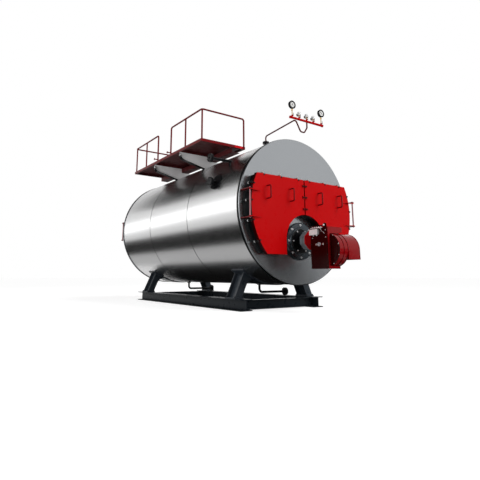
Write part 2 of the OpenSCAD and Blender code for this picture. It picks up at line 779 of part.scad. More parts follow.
// Round gauge with a bezel and a set-back dial, on a stem with a nut
module pressure_gauges() {
  color("white") at_face() for (x = gauge_places) translate([x, -bar_y, manifold_z]) union() {
    translate([0, 0, cock_h]) cylinder(h = gauge_up - gauge_r - cock_h + 6, r = 9, $fn = 32);
    translate([0, 0, gauge_up - gauge_r - 34]) cylinder(h = 22, r = 17, $fn = 6);
    translate([0, gauge_t / 2, gauge_up]) rotate([90, 0, 0]) rotate_extrude($fn = 96)
      polygon([[0, 0], [gauge_r - 8, 0], [gauge_r - 3, 6], [gauge_r - 3, gauge_t - 14],
        [gauge_r, gauge_t - 12], [gauge_r, gauge_t - 3], [gauge_r - 3, gauge_t], [gauge_r - 8, gauge_t],
        [gauge_r - 10, gauge_t - 8], [0, gauge_t - 8]]);
  }
}

// Domed switch on a stem, with a square terminal block behind it
module pressure_switches() {
  color("gray") at_face() for (x = switch_places) translate([x, -bar_y, manifold_z + cock_h]) union() {
    cylinder(h = 22, r = 9, $fn = 32);
    translate([0, 0, 20]) rotate_extrude($fn = 64) intersection() {
      square([switch_r, switch_h - 20]);
      union() {
        square([switch_r - 6, 20]);
        translate([0, 18]) square([switch_r, switch_h - 38 - switch_r]);
        translate([0, switch_h - 20 - switch_r]) circle(r = switch_r, $fn = 64);
      }
    }
    translate([-22, 6, 24]) cube([44, switch_r + 12, 44]);
  }
}

// Frame of edge channels with cross channels over the brackets and a keel channel below
module platform_frame() {
  deck_len = deck_y1 - deck_front;
  inner_w = deck_w - 2 * edge_t;
  color(burner_red) at_face() translate([deck_x0, deck_front, deck_z]) {
    difference() {
      cube([deck_w, deck_len, edge_h]);
      translate([edge_w, edge_w, -eps]) cube([deck_w - 2 * edge_w, deck_len - 2 * edge_w, edge_h + 2 * eps]);
      translate([edge_t, edge_t, edge_t]) cube([inner_w, deck_len - 2 * edge_t, edge_h - 2 * edge_t]);
    }
    for (y = [bracket_front, deck_len - bracket_rear]) difference() {
      translate([edge_t, y - edge_w / 2, 0]) cube([inner_w, edge_w, edge_h]);
      translate([0, y - edge_w / 2 + edge_t, edge_t]) cube([deck_w, edge_w, edge_h - 2 * edge_t]);
    }
    difference() {
      translate([keel_x, edge_w / 2, -keel_h]) cube([keel_w, deck_len - edge_w, keel_h]);
      translate([keel_x + edge_t, 0, edge_t - keel_h]) cube([keel_w, deck_len, keel_h - 2 * edge_t]);
    }
  }
}

// Deck plate inside the rail posts, cut round the corner posts
module platform_deck() {
  toe = 2 * rail_r + 4;
  post = rail_r + 2 + rail_bend * (1 - sqrt(0.5));
  color([0.2, 0.2, 0.22]) at_face() difference() {
    translate([deck_x0 + toe, deck_front + toe, deck_top])
      cube([deck_w - 2 * toe, deck_y1 - deck_front - 2 * toe, deck_t]);
    for (y = [deck_front + post, deck_y1 - post]) translate([deck_x0 + post, y, deck_top - eps])
      cylinder(h = deck_t + 2 * eps, r = rail_r + 3, $fn = 48);
  }
}

// Points of a bracket's lower edge, from the platform's left edge to the shell
function bracket_edge() = concat(
  [for (i = [0 : 6]) [deck_x0 + 150 - 130 * cos(15 * i), deck_z - 40 - (bracket_h - 70) * sin(15 * i)]],
  [[deck_x0 + keel_x - 60, deck_z - bracket_h - 112]]);

// Plate from the platform down to the shell, with a flange along its lower edge
module platform_bracket(y) {
  edge = bracket_edge();
  x1 = deck_x0 + keel_x + foot_in;
  raised = [for (i = [len(edge) - 1 : -1 : 0]) edge[i] + [i < 4 ? 8 : 3, i < 4 ? 2 : 9]];
  difference() {
    union() {
      translate([0, y + 5, 0]) rotate([90, 0, 0]) linear_extrude(10)
        polygon(concat([[deck_x0 + keel_x, deck_z], [deck_x0 + 20, deck_z]], edge,
          [[x1, axis_z + shell_r / 2], [x1, deck_z - keel_h], [deck_x0 + keel_x, deck_z - keel_h]]));
      translate([0, y + bracket_w / 2, 0]) rotate([90, 0, 0]) linear_extrude(bracket_w)
        polygon(concat(edge, raised));
    }
    shell_core();
  }
}
module platform_brackets() color("silver") at_face() {
  platform_bracket(deck_front + bracket_front);
  platform_bracket(deck_y1 - bracket_rear);
}

// Rails in front of and behind the ladder gap, with studs for the ladder at the gap posts
module platform_rail() {
  x0 = deck_x0 + rail_r + 2;
  x1 = deck_x0 + deck_w - rail_r - 2;
  y0 = deck_front + rail_r + 2;
  y1 = deck_y1 - rail_r - 2;
  z1 = deck_z + rail_h;
  gap0 = y0 + 2 * post_gap;
  gap1 = y0 + 3 * post_gap;
  corner = rail_bend * (1 - sqrt(0.5));
  color(burner_red) at_face() {
    tube_run([[x1, y0, deck_top], [x1, y0, z1], [x0, y0, z1], [x0, gap0, z1], [x0, gap0, deck_top]],
      rail_r, rail_bend);
    tube_run([[x1, y1, deck_top], [x1, y1, z1], [x0, y1, z1], [x0, gap1, z1], [x0, gap1, deck_top]],
      rail_r, rail_bend);
    for (y = [y0 + post_gap, y0 + 4 * post_gap]) bar([x0, y, deck_top], [x0, y, z1], rail_r - 1);
    for (y = [y0 + corner, y1 - corner]) bar([x0 + corner, y, deck_top], [x0 + corner, y, z1], rail_r - 1);
    for (y = [gap0, gap1]) {
      bar([x0, y, deck_top + 30], [x0 - stud_len + 12, y, deck_top + 30], 13);
      bar([x0 - stud_len + 12, y, deck_top + 30], [x0 - stud_len, y, deck_top + 30], 26);
    }
  }
}

// Straight connection with a flange pair, towards -X
module level_nozzle(up) {
  translate([0, level_y, axis_z + up]) rotate([0, -90, 0]) rotate_extrude($fn = 64)
    polygon([[0, shell_r / 3], [level_r, shell_r / 3],
      [level_r, level_x - 46], [level_flange_r, level_x - 46],
      [level_flange_r, level_x - 26], [level_flange_r - 20, level_x - 26],
      [level_flange_r - 20, level_x - 22], [level_flange_r, level_x - 22], [level_flange_r, level_x],
      [level_r - 8, level_x], [level_r - 8, level_x - 12], [0, level_x - 12]]);
}
module level_connections() {
  color(dark) at_face() {
    difference() {
      level_nozzle(level_up);
      shell_core();
    }
    difference() {
      union() {
        level_nozzle(level_low);
        translate([0, level_y, axis_z]) rotate([0, asin(level_low / shell_r) - 90, 0])
          translate([0, 0, shell_r - 20]) cylinder(h = 38, r = rosette_r, $fn = 64);
      }
      shell_core();
    }
  }
}

// Drain that leaves the shell's bottom and turns level towards +X
module drain(y) {
  difference() {
    union() {
      tube_run([[0, y, axis_z - shell_r + 40], [0, y, drain_z], [drain_reach, y, drain_z]],
        drain_r, drain_bend);
      translate([0, y, axis_z - shell_r - 18]) cylinder(h = 50, r = 52, $fn = 48);
      translate([drain_reach, y, drain_z]) rotate([0, 90, 0]) rotate_extrude($fn = 64)
        polygon([[0, -10], [46, -10], [46, 0], [82, 0], [82, 20], [60, 20], [60, 24],
          [82, 24], [82, 44], [0, 44]]);
    }
    shell_core();
  }
}
module drains() color(dark) at_face() {
  drain(drain_front);
  drain(shell_len - drain_rear);
}

// Flue outlet with a flange ring
module flue_outlet() {
  color([0.3, 0.3, 0.32]) at_face() at_rear() translate([0, 0, axis_z + flue_up]) rotate([90, 0, 0])
    rotate_extrude($fn = 96) polygon([[flue_r - flue_wall, 0], [flue_r + 30, 0], [flue_r + 30, 10],
      [flue_r, 10], [flue_r, flue_len - 14], [flue_r + 45, flue_len - 14], [flue_r + 45, flue_len],
      [flue_r - flue_wall, flue_len]]);
}

// Round hatch on the rear plate, with a ring, a dished cover and a sight port
module rear_hatch() {
  port_r = hatch_r / 5;
  color([0.25, 0.27, 0.29]) at_face() at_rear() translate([0, 0, burner_z]) rotate([90, 0, 0])
    rotate_extrude($fn = 96) polygon([[0, 0], [hatch_r, 0], [hatch_r, 24], [hatch_r - 20, 24],
      [hatch_r - 20, 44], [hatch_r - 50, 50], [hatch_r * 0.3, 62], [port_r, 62], [port_r, 84],
      [port_r * 0.7, 84], [port_r * 0.6, 74], [0, 74]]);
}

front_shell();
middle_shell();
rear_shell();
front_plate();
rear_plate();
front_smoke_box();
rear_smoke_box();
front_left_door();
front_right_door();
rear_left_door();
rear_right_door();
front_left_handles();
front_right_handles();
rear_left_handles();
rear_right_handles();
front_left_hinge();
front_right_hinge();
rear_left_hinge();
rear_right_hinge();
left_beam();
right_beam();
cross_channels();
front_saddle();
rear_saddle();
burner_mount();
burner_throat();
burner_flange();
burner_head();
burner_casing();
fan_housing();
intake_hood();
control_box();
top_nozzle();
gauge_pipe();
gauge_manifold();
pressure_gauges();
pressure_switches();
platform_frame();
platform_deck();
platform_brackets();
platform_rail();
level_connections();
drains();
flue_outlet();
rear_hatch();
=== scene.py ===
import bpy, bmesh, math
from mathutils import Matrix, Vector


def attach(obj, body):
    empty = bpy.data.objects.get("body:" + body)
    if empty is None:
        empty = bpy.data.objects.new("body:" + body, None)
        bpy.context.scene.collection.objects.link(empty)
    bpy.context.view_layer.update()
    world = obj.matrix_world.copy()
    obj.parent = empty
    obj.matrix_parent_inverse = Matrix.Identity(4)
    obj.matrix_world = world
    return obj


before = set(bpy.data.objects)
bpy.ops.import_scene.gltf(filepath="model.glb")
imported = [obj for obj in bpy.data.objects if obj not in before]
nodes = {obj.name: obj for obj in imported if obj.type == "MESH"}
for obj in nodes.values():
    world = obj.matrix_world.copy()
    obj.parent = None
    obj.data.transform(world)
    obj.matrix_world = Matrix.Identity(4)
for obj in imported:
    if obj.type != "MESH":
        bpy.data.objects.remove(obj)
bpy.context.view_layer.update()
scene = bpy.context.scene
print("frame loaded:", len(nodes), "nodes")

# the boiler's own places, in metres
leaves = [f"{end}_{side}" for end in ("front", "rear") for side in ("left", "right")]
boiler = dict(faceY=-2.366, rearY=3.134, axisZ=1.848, shellR=1.388, plateR=1.4,
              burnerZ=1.256, fanZ=1.06, barZ=3.698, barY=-2.381)
faceY, rearY, axisZ, shellR, plateR, burnerZ, fanZ, barZ, barY = boiler.values()


# camera and studio
view = dict(place=(-5.549, -8.113, 0.631), turn=34.544, pitch=11.442, lens=31.31, shift=(0.0226, -0.1023))


def makeCamera(p):
    data = bpy.data.cameras.new("photoCamera")
    data.lens = p["lens"]
    data.sensor_width = 36.0
    data.shift_x, data.shift_y = p["shift"]
    data.clip_end = 200.0
    cam = bpy.data.objects.new("photoCamera", data)
    cam.location = p["place"]
    cam.rotation_euler = (math.radians(90 + p["pitch"]), 0.0, math.radians(-p["turn"]))
    scene.collection.objects.link(cam)
    scene.camera = cam
    scene.view_settings.view_transform = "Standard"


def areaLamp(name, place, target, size, watts, mirrored=True, lights=True):
    data = bpy.data.lights.new(name, "AREA")
    data.shape = "RECTANGLE"
    data.size, data.size_y = size
    data.energy = watts
    lamp = bpy.data.objects.new(name, data)
    lamp.location = place
    lamp.rotation_euler = (Vector(target) - Vector(place)).to_track_quat("-Z", "Y").to_euler()
    lamp.visible_glossy = mirrored
    lamp.visible_diffuse = lights
    scene.collection.objects.link(lamp)


def sunLamp(name, aim, strength, spread):
    data = bpy.data.lights.new(name, "SUN")
    data.energy = strength
    data.angle = math.radians(spread)
    lamp = bpy.data.objects.new(name, data)
    lamp.rotation_euler = Vector(aim).to_track_quat("-Z", "Y").to_euler()
    lamp.visible_glossy = False
    scene.collection.objects.link(lamp)


def newFinish(name):
    mat = bpy.data.materials.new(name)
    mat.use_nodes = True
    return mat, mat.node_tree, mat.node_tree.nodes["Principled BSDF"]


def card(name, corners, tone):
    # matte quad whose glow is white
    mesh = bpy.data.meshes.new(name)
    mesh.from_pydata(corners, [], [(0, 1, 2, 3)])
    obj = bpy.data.objects.new(name, mesh)
    scene.collection.objects.link(obj)
    mat, tree, b = newFinish(name)
    b.inputs["Base Color"].default_value = (tone, tone, tone, 1)
    b.inputs["Roughness"].default_value = 1.0
    b.inputs["Specular IOR Level"].default_value = 0.0
    b.inputs["Emission Color"].default_value = (1, 1, 1, 1)
    mesh.materials.append(mat)
    return obj, tree, b


def flag(name, corners, tone, glow=0.0):
    # studio flag that only reflections see
    obj, tree, b = card(name, corners, tone)
    b.inputs["Emission Strength"].default_value = glow
    obj.visible_camera = obj.visible_diffuse = obj.visible_shadow = obj.visible_transmission = False


def seenWhite(tree):
    # 1 for camera, glossy and transmission rays
    path = tree.nodes.new("ShaderNodeLightPath")
    seen = path.outputs["Is Camera Ray"]
    for ray in ("Is Glossy Ray", "Is Transmission Ray"):
        most = tree.nodes.new("ShaderNodeMath")
        most.operation = "MAXIMUM"
        tree.links.new(seen, most.inputs[0])
        tree.links.new(path.outputs[ray], most.inputs[1])
        seen = most.outputs[0]
    return seen


studio = dict(
    ambient=0.07, floorTone=0.45, floorGlow=0.78, floorHalf=90.0, floorZ=-0.001,
    sun=((-0.45, 0.75, -0.85), 1.7, 30),
    lamps=[("keyLamp", (4.0, -13.0, 4.2), (0, -1, 1.8), (7, 4), 540, False),
           ("leftSoftbox", (-9.0, 14.0, 4.5), (0, 14, 4.2), (70, 3.4), 940, True, False),
           ("rightSoftbox", (9.0, 15.0, 4.5), (0, 15, 4.2), (30, 3.4), 580, True, False),
           ("backLamp", (-3.0, 9.0, 10.0), (0, 1, 2.0), (6, 5), 350, False),
           ("fillLamp", (-12.0, -4.0, 2.5), (-0.5, -1.0, 2.0), (5, 4), 500, False)],
    stripZ=0.02, stripNear=-60.0,
    strips=[("leftFarFlag", -7.6, -2.2, 90.0, 0.0, 0.0), ("leftNearFlag", -2.2, -1.1, 90.0, 0.0, 0.58),
            ("underFlag", -1.1, 1.1, 3.6, 0.03, 0.0), ("rightNearFlag", 1.1, 2.2, 90.0, 0.0, 0.58),
            ("rightFarFlag", 2.2, 7.6, 90.0, 0.0, 0.0)],
    flags=[("frontFlag", [(7.2, -14.15, -0.5), (10.8, -11.63, -0.5),
                          (10.8, -11.63, 1.4), (7.2, -14.15, 4.8)], 0.02),
           ("ceilingFlag", [(-6.9, -60, 9), (1.5, -60, 9), (1.5, 11.5, 9), (-6.9, 21, 9)], 0.0)])


def makeStudio(p):
    world = bpy.data.worlds.new("studioWorld")
    world.use_nodes = True
    scene.world = world
    t = world.node_tree
    bg = t.nodes["Background"]
    bg.inputs["Color"].default_value = (1, 1, 1, 1)
    lift = t.nodes.new("ShaderNodeMapRange")
    lift.inputs["To Min"].default_value = p["ambient"]
    lift.inputs["To Max"].default_value = 1.0
    t.links.new(seenWhite(t), lift.inputs["Value"])
    t.links.new(lift.outputs["Result"], bg.inputs["Strength"])

    s, z = p["floorHalf"], p["floorZ"]
    floor, t, b = card("studioFloor", [(-s, -s, z), (s, -s, z), (s, s, z), (-s, s, z)], p["floorTone"])
    glow = t.nodes.new("ShaderNodeMath")
    glow.operation = "MULTIPLY"
    glow.inputs[1].default_value = p["floorGlow"]
    t.links.new(seenWhite(t), glow.inputs[0])
    t.links.new(glow.outputs[0], b.inputs["Emission Strength"])

    sunLamp("sunLamp", *p["sun"])
    for lamp in p["lamps"]:
        areaLamp(*lamp)
    # level strips along the boiler keep the bands in the steel straight
    near, z = p["stripNear"], p["stripZ"]
    for name, x0, x1, far, tone, glow in p["strips"]:
        flag(name, [(x0, near, z), (x1, near, z), (x1, far, z), (x0, far, z)], tone, glow)
    for values in p["flags"]:
        flag(*values)


makeCamera(view)
makeStudio(studio)
print("camera and studio ready")


# finishes
def coords(t, scale=(1, 1, 1)):
    c = t.nodes.new("ShaderNodeTexCoord")
    m = t.nodes.new("ShaderNodeMapping")
    m.inputs["Scale"].default_value = scale
    t.links.new(c.outputs["Object"], m.inputs["Vector"])
    return m.outputs["Vector"]


def noise(t, vector, scale, detail=3.0, rough=0.55):
    n = t.nodes.new("ShaderNodeTexNoise")
    n.inputs["Scale"].default_value = scale
    n.inputs["Detail"].default_value = detail
    n.inputs["Roughness"].default_value = rough
    t.links.new(vector, n.inputs["Vector"])
    return n.outputs["Fac"]


def tones(t, fac, stops):
    r = t.nodes.new("ShaderNodeValToRGB")
    while len(r.color_ramp.elements) < len(stops):
        r.color_ramp.elements.new(0.5)
    for e, (at, c) in zip(r.color_ramp.elements, stops):
        e.position = at
        e.color = (*c, 1)
    t.links.new(fac, r.inputs["Fac"])
    return r.outputs["Color"]


def span(t, fac, low, high, start=0.3, end=0.7):
    m = t.nodes.new("ShaderNodeMapRange")
    m.inputs["From Min"].default_value = start
    m.inputs["From Max"].default_value = end
    m.inputs["To Min"].default_value = low
    m.inputs["To Max"].default_value = high
    t.links.new(fac, m.inputs["Value"])
    return m.outputs["Result"]


def relief(t, b, height, depth, strength=0.6):
    n = t.nodes.new("ShaderNodeBump")
    n.inputs["Strength"].default_value = strength
    n.inputs["Distance"].default_value = depth
    t.links.new(height, n.inputs["Height"])
    t.links.new(n.outputs["Normal"], b.inputs["Normal"])


def painted(name, color, deeper, rough=(0.25, 0.4), coat=0.0, metallic=0.0, cloud=1.6, shine=0.3,
            peel=240.0, depth=0.0002):
    mat, t, b = newFinish(name)
    v = coords(t)
    t.links.new(tones(t, noise(t, v, cloud, 5.0), [(0.3, deeper), (0.7, color)]), b.inputs["Base Color"])
    t.links.new(span(t, noise(t, v, 9.0), *rough), b.inputs["Roughness"])
    b.inputs["Metallic"].default_value = metallic
    b.inputs["Specular IOR Level"].default_value = shine
    b.inputs["Coat Weight"].default_value = coat
    b.inputs["Coat Roughness"].default_value = 0.12
    relief(t, b, noise(t, v, peel, 2.0), depth)
    return mat


def brushedFinish(name, color, deeper, streak=(60, 1.2, 60), rough=(0.24, 0.26)):
    mat, t, b = newFinish(name)
    lines = noise(t, coords(t, streak), 3.0, 6.0, 0.7)
    t.links.new(tones(t, lines, [(0.3, deeper), (0.7, color)]), b.inputs["Base Color"])
    t.links.new(span(t, noise(t, coords(t, (9.0, 0.4, 9.0)), 1.0, 4.0), *rough), b.inputs["Roughness"])
    b.inputs["Metallic"].default_value = 1.0
    relief(t, b, lines, 0.0002, 0.1)
    return mat


finish = dict(
    cladding=brushedFinish("brushedCladding", (0.64, 0.64, 0.64), (0.58, 0.58, 0.585)),
    plate=painted("plateSilver", (0.36, 0.375, 0.39), (0.345, 0.36, 0.375), (0.22, 0.24),
                  metallic=0.9, cloud=0.7, shine=0.5, depth=0.00002),
    door=painted("doorRed", (0.53, 0.002, 0.003), (0.50, 0.002, 0.003), (0.26, 0.32), cloud=1.2, shine=0.07),
    burner=painted("burnerRed", (0.25, 0.003, 0.005), (0.23, 0.002, 0.004), (0.12, 0.18),
                   coat=0.15, cloud=3.0, shine=0.1),
    # near-black red for faces turned from the lamps: painted shade
    shadedSide=painted("paintedShadeRed", (0.026, 0.001, 0.001), (0.022, 0.001, 0.001), (0.16, 0.22),
                  cloud=3.0, shine=0.06),
    rail=painted("railRed", (0.17, 0.003, 0.005), (0.15, 0.002, 0.004), (0.3, 0.4), cloud=4.0, shine=0.15),
    pipe=painted("pipeRed", (0.095, 0.002, 0.003), (0.080, 0.002, 0.002), (0.3, 0.4), cloud=4.0, shine=0.1),
    skid=painted("skidBlueGrey", (0.030, 0.038, 0.048), (0.026, 0.033, 0.042), (0.25, 0.35),
                 cloud=2.0, shine=0.35),
    # a darker copy of the skid's blue-grey for the beams and channels: painted shade
    beam=painted("paintedShadeBlueGrey", (0.013, 0.017, 0.022), (0.011, 0.015, 0.019), (0.25, 0.35),
                 cloud=2.0, shine=0.15),
    black=painted("fittingBlack", (0.006, 0.006, 0.007), (0.004, 0.004, 0.005), (0.25, 0.35),
                  cloud=5.0, shine=0.1),
    box=painted("smokeBoxBlack", (0.002, 0.0025, 0.003), (0.0015, 0.002, 0.0025), (0.3, 0.4),
                cloud=3.0, shine=0.08),
    mount=painted("mountBlueGrey", (0.075, 0.088, 0.10), (0.055, 0.066, 0.076), (0.16, 0.22),
                  metallic=0.8, cloud=6.0, shine=0.5),
    flange=painted("flangeGrey", (0.40, 0.43, 0.46), (0.36, 0.39, 0.42), (0.25, 0.35),
                   metallic=0.6, cloud=6.0, shine=0.5),
    bright=painted("brightMetal", (0.84, 0.84, 0.84), (0.78, 0.78, 0.78), (0.25, 0.35),
                   metallic=0.2, cloud=8.0, shine=0.5),
    # grey steel tinted pink: painted reflection of the red doors
    rod=painted("hingeRod", (0.34, 0.15, 0.16), (0.28, 0.12, 0.13), (0.3, 0.4),
                metallic=0.5, cloud=8.0, shine=0.5),
    panelWhite=painted("panelWhite", (0.86, 0.86, 0.86), (0.82, 0.82, 0.82), (0.4, 0.5),
                       cloud=8.0, shine=0.4),
    web=painted("bracketGrey", (0.90, 0.90, 0.90), (0.85, 0.85, 0.85), (0.3, 0.45), cloud=2.0),
    deck=painted("deckSteel", (0.035, 0.028, 0.030), (0.022, 0.018, 0.019), (0.4, 0.6),
                 cloud=3.0, shine=0.15),
    # darker red for the platform's undersides: painted shade
    under=painted("underRed", (0.090, 0.016, 0.017), (0.060, 0.011, 0.012), (0.4, 0.6),
                  cloud=3.0, shine=0.15),
)

# the solids that wear each finish
wearers = dict(
    cladding="front_shell middle_shell rear_shell", plate="front_plate rear_plate",
    box="front_smoke_box rear_smoke_box", beam="left_beam right_beam cross_channels",
    skid="front_saddle rear_saddle", mount="burner_mount rear_hatch", flange="burner_flange flue_outlet",
    black="burner_throat top_nozzle pressure_gauges level_connections drains",
    burner="burner_casing fan_housing intake_hood", panelWhite="control_box pressure_switches",
    pipe="gauge_pipe", deck="platform_deck", web="platform_brackets",
    door=" ".join(["burner_head gauge_manifold"] + [f"{leaf}_door" for leaf in leaves]),
    rail=" ".join(["platform_frame platform_rail"] + [f"{leaf}_handles {leaf}_hinge" for leaf in leaves]))
for which, names in wearers.items():
    for name in names.split():
        data = nodes[name].data
        data.materials.clear()
        data.materials.append(finish[which])


def paintFaces(name, which, test):
    # gives the faces whose middles pass the test another finish
    data = nodes[name].data
    data.materials.append(finish[which])
    slot = len(data.materials) - 1
    for face in data.polygons:
        if test(face.center, face.normal):
            face.material_index = slot


def isRim(c, n):
    return abs(n.y) < 0.5 and math.hypot(c.x, c.z - axisZ) > plateR - 0.004


def isUnder(c, n):
    # the frame's lower and inner faces, away from its outer sides, which get painted shade
    sides = (c.x - deckSides["left"], c.y - deckSides["front"], c.y - deckSides["rear"])
    return n.z < 0.5 and min(map(abs, sides)) > 0.001


doorTop = 0.545
seamHalf = 0.012
webHalf = 0.0055
hinge = dict(x=1.315, depth=0.222, radius=0.02)
bracketYs = (faceY + 2.340, faceY + 3.690)
deckSides = dict(left=-1.350, front=faceY + 1.370, rear=faceY + 4.930)
for end, y in (("front", faceY - hinge["depth"]), ("rear", rearY + hinge["depth"])):
    paintFaces(f"{end}_plate", "box", isRim)
    paintFaces(f"{end}_smoke_box", "plate", lambda c, n: c.z > axisZ + doorTop)
    for side, x in (("left", -hinge["x"]), ("right", hinge["x"])):
        # the hinge rods wear this pink-tinted steel, a painted reflection of the red doors
        paintFaces(f"{end}_{side}_hinge", "rod", lambda c, n: math.hypot(c.x - x, c.y - y) < hinge["radius"])
        # the leaves' side faces wear near-black red and their faces at the seam smoke-box black: painted
        # shade on the edges and in the gap
        paintFaces(f"{end}_{side}_door", "shadedSide", lambda c, n: abs(n.y) < 0.5)
        paintFaces(f"{end}_{side}_door", "box", lambda c, n: abs(c.x) < seamHalf)
# the left-facing faces of the burner casing and fan housing wear painted shade
paintFaces("burner_casing", "shadedSide", lambda c, n: n.x < -0.9)
paintFaces("fan_housing", "shadedSide", lambda c, n: n.x < -0.9)
# the head's lower side faces wear the darker burner red: painted shade
paintFaces("burner_head", "burner", lambda c, n: abs(n.y) < 0.1 and n.z < 0.3)
# bracket faces off the web planes wear fitting black: painted shade under the flanges
paintFaces("platform_brackets", "black", lambda c, n: min(abs(c.y - y) for y in bracketYs) > webHalf)
# the deck's underside and the frame's lower and inner faces wear painted shade
paintFaces("platform_deck", "under", lambda c, n: n.z < -0.5)
paintFaces("platform_frame", "under", isUnder)
print("finishes:", len(finish))


# building tools
def keep(name, mesh, which, body):
    mesh.materials.clear()
    mesh.materials.append(finish[which])
    obj = bpy.data.objects.new(name, mesh)
    scene.collection.objects.link(obj)
    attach(obj, body)


def fromBmesh(name, bm, which, body="boiler", smooth=40):
    bmesh.ops.recalc_face_normals(bm, faces=bm.faces)
    mesh = bpy.data.meshes.new(name)
    bm.to_mesh(mesh)
    bm.free()
    mesh.shade_smooth()
    mesh.set_sharp_from_angle(angle=math.radians(smooth))
    keep(name, mesh, which, body)


def facing(place, axis):
    # local Z points along axis
    return Matrix.Translation(Vector(place)) @ Vector(axis).to_track_quat("Z", "Y").to_matrix().to_4x4()


def lathe(bm, profile, place, steps=32):
    # profile is (radius, height) from one end to the other, closed where the radius is 0
    rings = []
    for r, h in profile:
        if r < 1e-6:
            rings.append([bm.verts.new(place @ Vector((0, 0, h)))])
        else:
            rings.append([bm.verts.new(place @ Vector((r * math.cos(2 * math.pi * i / steps),
                                                       r * math.sin(2 * math.pi * i / steps), h)))
                          for i in range(steps)])
    for a, b in zip(rings, rings[1:]):
        for i in range(steps):
            j = (i + 1) % steps
            face = [a[i % len(a)], a[j % len(a)], b[j % len(b)], b[i % len(b)]]
            bm.faces.new(list(dict.fromkeys(face)))


def closedLathe(bm, profile, place, steps=32):
    lathe(bm, profile + profile[:1], place, steps)
    bmesh.ops.remove_doubles(bm, verts=bm.verts, dist=1e-6)


def turned(name, profile, place, steps, which, smooth=40, maker=lathe):
    bm = bmesh.new()
    maker(bm, profile, place, steps)
    fromBmesh(name, bm, which, smooth=smooth)


def block(bm, low, high, bevel=0.002):
    low, high = Vector(low), Vector(high)
    made = bmesh.ops.create_cube(bm, size=1.0)
    for v in made["verts"]:
        v.co = (low + high) / 2 + Vector([v.co[i] * (high - low)[i] for i in range(3)])
    edges = {e for v in made["verts"] for e in v.link_edges}
    bmesh.ops.bevel(bm, geom=list(edges), offset=bevel, segments=2, affect="EDGES", profile=0.5)


def tube(bm, points, radius, sides=12):
    points = [Vector(p) for p in points]
    up, rings = None, []
    for i, p in enumerate(points):
        d = (points[min(i + 1, len(points) - 1)] - points[max(i - 1, 0)]).normalized()
        if up is None:
            up = d.orthogonal().normalized()
        up = (up - d * up.dot(d)).normalized()
        side = d.cross(up)
        rings.append([bm.verts.new(p + radius * (math.cos(2 * math.pi * k / sides) * up
                                                 + math.sin(2 * math.pi * k / sides) * side))
                      for k in range(sides)])
    for a, b in zip(rings, rings[1:]):
        for k in range(sides):
            bm.faces.new([a[k], a[(k + 1) % sides], b[(k + 1) % sides], b[k]])
    bm.faces.new(rings[0][::-1])
    bm.faces.new(rings[-1])


def front(x, d, z):
    # d metres in front of the front plate
    return Vector((x, faceY - d, z))


def rear(x, d, z):
    # d metres behind the rear plate
    return Vector((x, rearY + d, z))


# repeating pieces
def newTree(name, sizes):
    t = bpy.data.node_groups.new(name, "GeometryNodeTree")
    t.interface.new_socket("Geometry", in_out="INPUT", socket_type="NodeSocketGeometry")
    for label, start in sizes.items():
        t.interface.new_socket(label, in_out="INPUT", socket_type="NodeSocketFloat").default_value = start
    t.interface.new_socket("Finish", in_out="INPUT", socket_type="NodeSocketMaterial")
    t.interface.new_socket("Geometry", in_out="OUTPUT", socket_type="NodeSocketGeometry")
    return t, t.nodes.new("NodeGroupInput").outputs, t.nodes.new("NodeGroupOutput")


def feed(t, n, values):
    # sets the node's inputs to numbers or links
    for s, v in zip(n.inputs, values):
        if isinstance(v, (int, float)):
            s.default_value = v
        else:
            t.links.new(v, s)
    return n.outputs[0]


def sums(t, op, *values):
    n = t.nodes.new("ShaderNodeMath")
    n.operation = op
    return feed(t, n, values)


def vector(t, x=0.0, y=0.0, z=0.0):
    return feed(t, t.nodes.new("ShaderNodeCombineXYZ"), (x, y, z))


def moved(t, geometry, shift=None, scale=None):
    n = t.nodes.new("GeometryNodeTransform")
    t.links.new(geometry, n.inputs["Geometry"])
    if shift is not None:
        t.links.new(shift, n.inputs["Translation"])
    if scale is not None:
        t.links.new(scale, n.inputs["Scale"])
    return n.outputs[0]


def drum(t, sides, radius, depth):
    n = t.nodes.new("GeometryNodeMeshCylinder")
    n.inputs["Vertices"].default_value = sides
    t.links.new(radius, n.inputs["Radius"])
    t.links.new(depth, n.inputs["Depth"])
    return n.outputs["Mesh"]


def onPoints(t, source, piece, out, sizes, aimed=True, spin=None):
    # puts the piece on every point along its aim, realized and painted
    n = t.nodes.new("GeometryNodeInstanceOnPoints")
    t.links.new(source, n.inputs["Points"])
    t.links.new(piece, n.inputs["Instance"])
    if aimed:
        aim = t.nodes.new("GeometryNodeInputNamedAttribute")
        aim.data_type = "FLOAT_VECTOR"
        aim.inputs["Name"].default_value = "aim"
        turn = t.nodes.new("FunctionNodeAlignRotationToVector")
        turn.axis = "Z"
        t.links.new(aim.outputs["Attribute"], turn.inputs["Vector"])
        t.links.new(turn.outputs["Rotation"], n.inputs["Rotation"])
    last = n.outputs[0]
    if spin is not None:
        r = t.nodes.new("GeometryNodeRotateInstances")
        t.links.new(last, r.inputs["Instances"])
        t.links.new(spin, r.inputs["Rotation"])
        last = r.outputs[0]
    real = t.nodes.new("GeometryNodeRealizeInstances")
    t.links.new(last, real.inputs[0])
    paint = t.nodes.new("GeometryNodeSetMaterial")
    t.links.new(real.outputs[0], paint.inputs["Geometry"])
    t.links.new(sizes["Finish"], paint.inputs["Material"])
    t.links.new(paint.outputs[0], out.inputs[0])


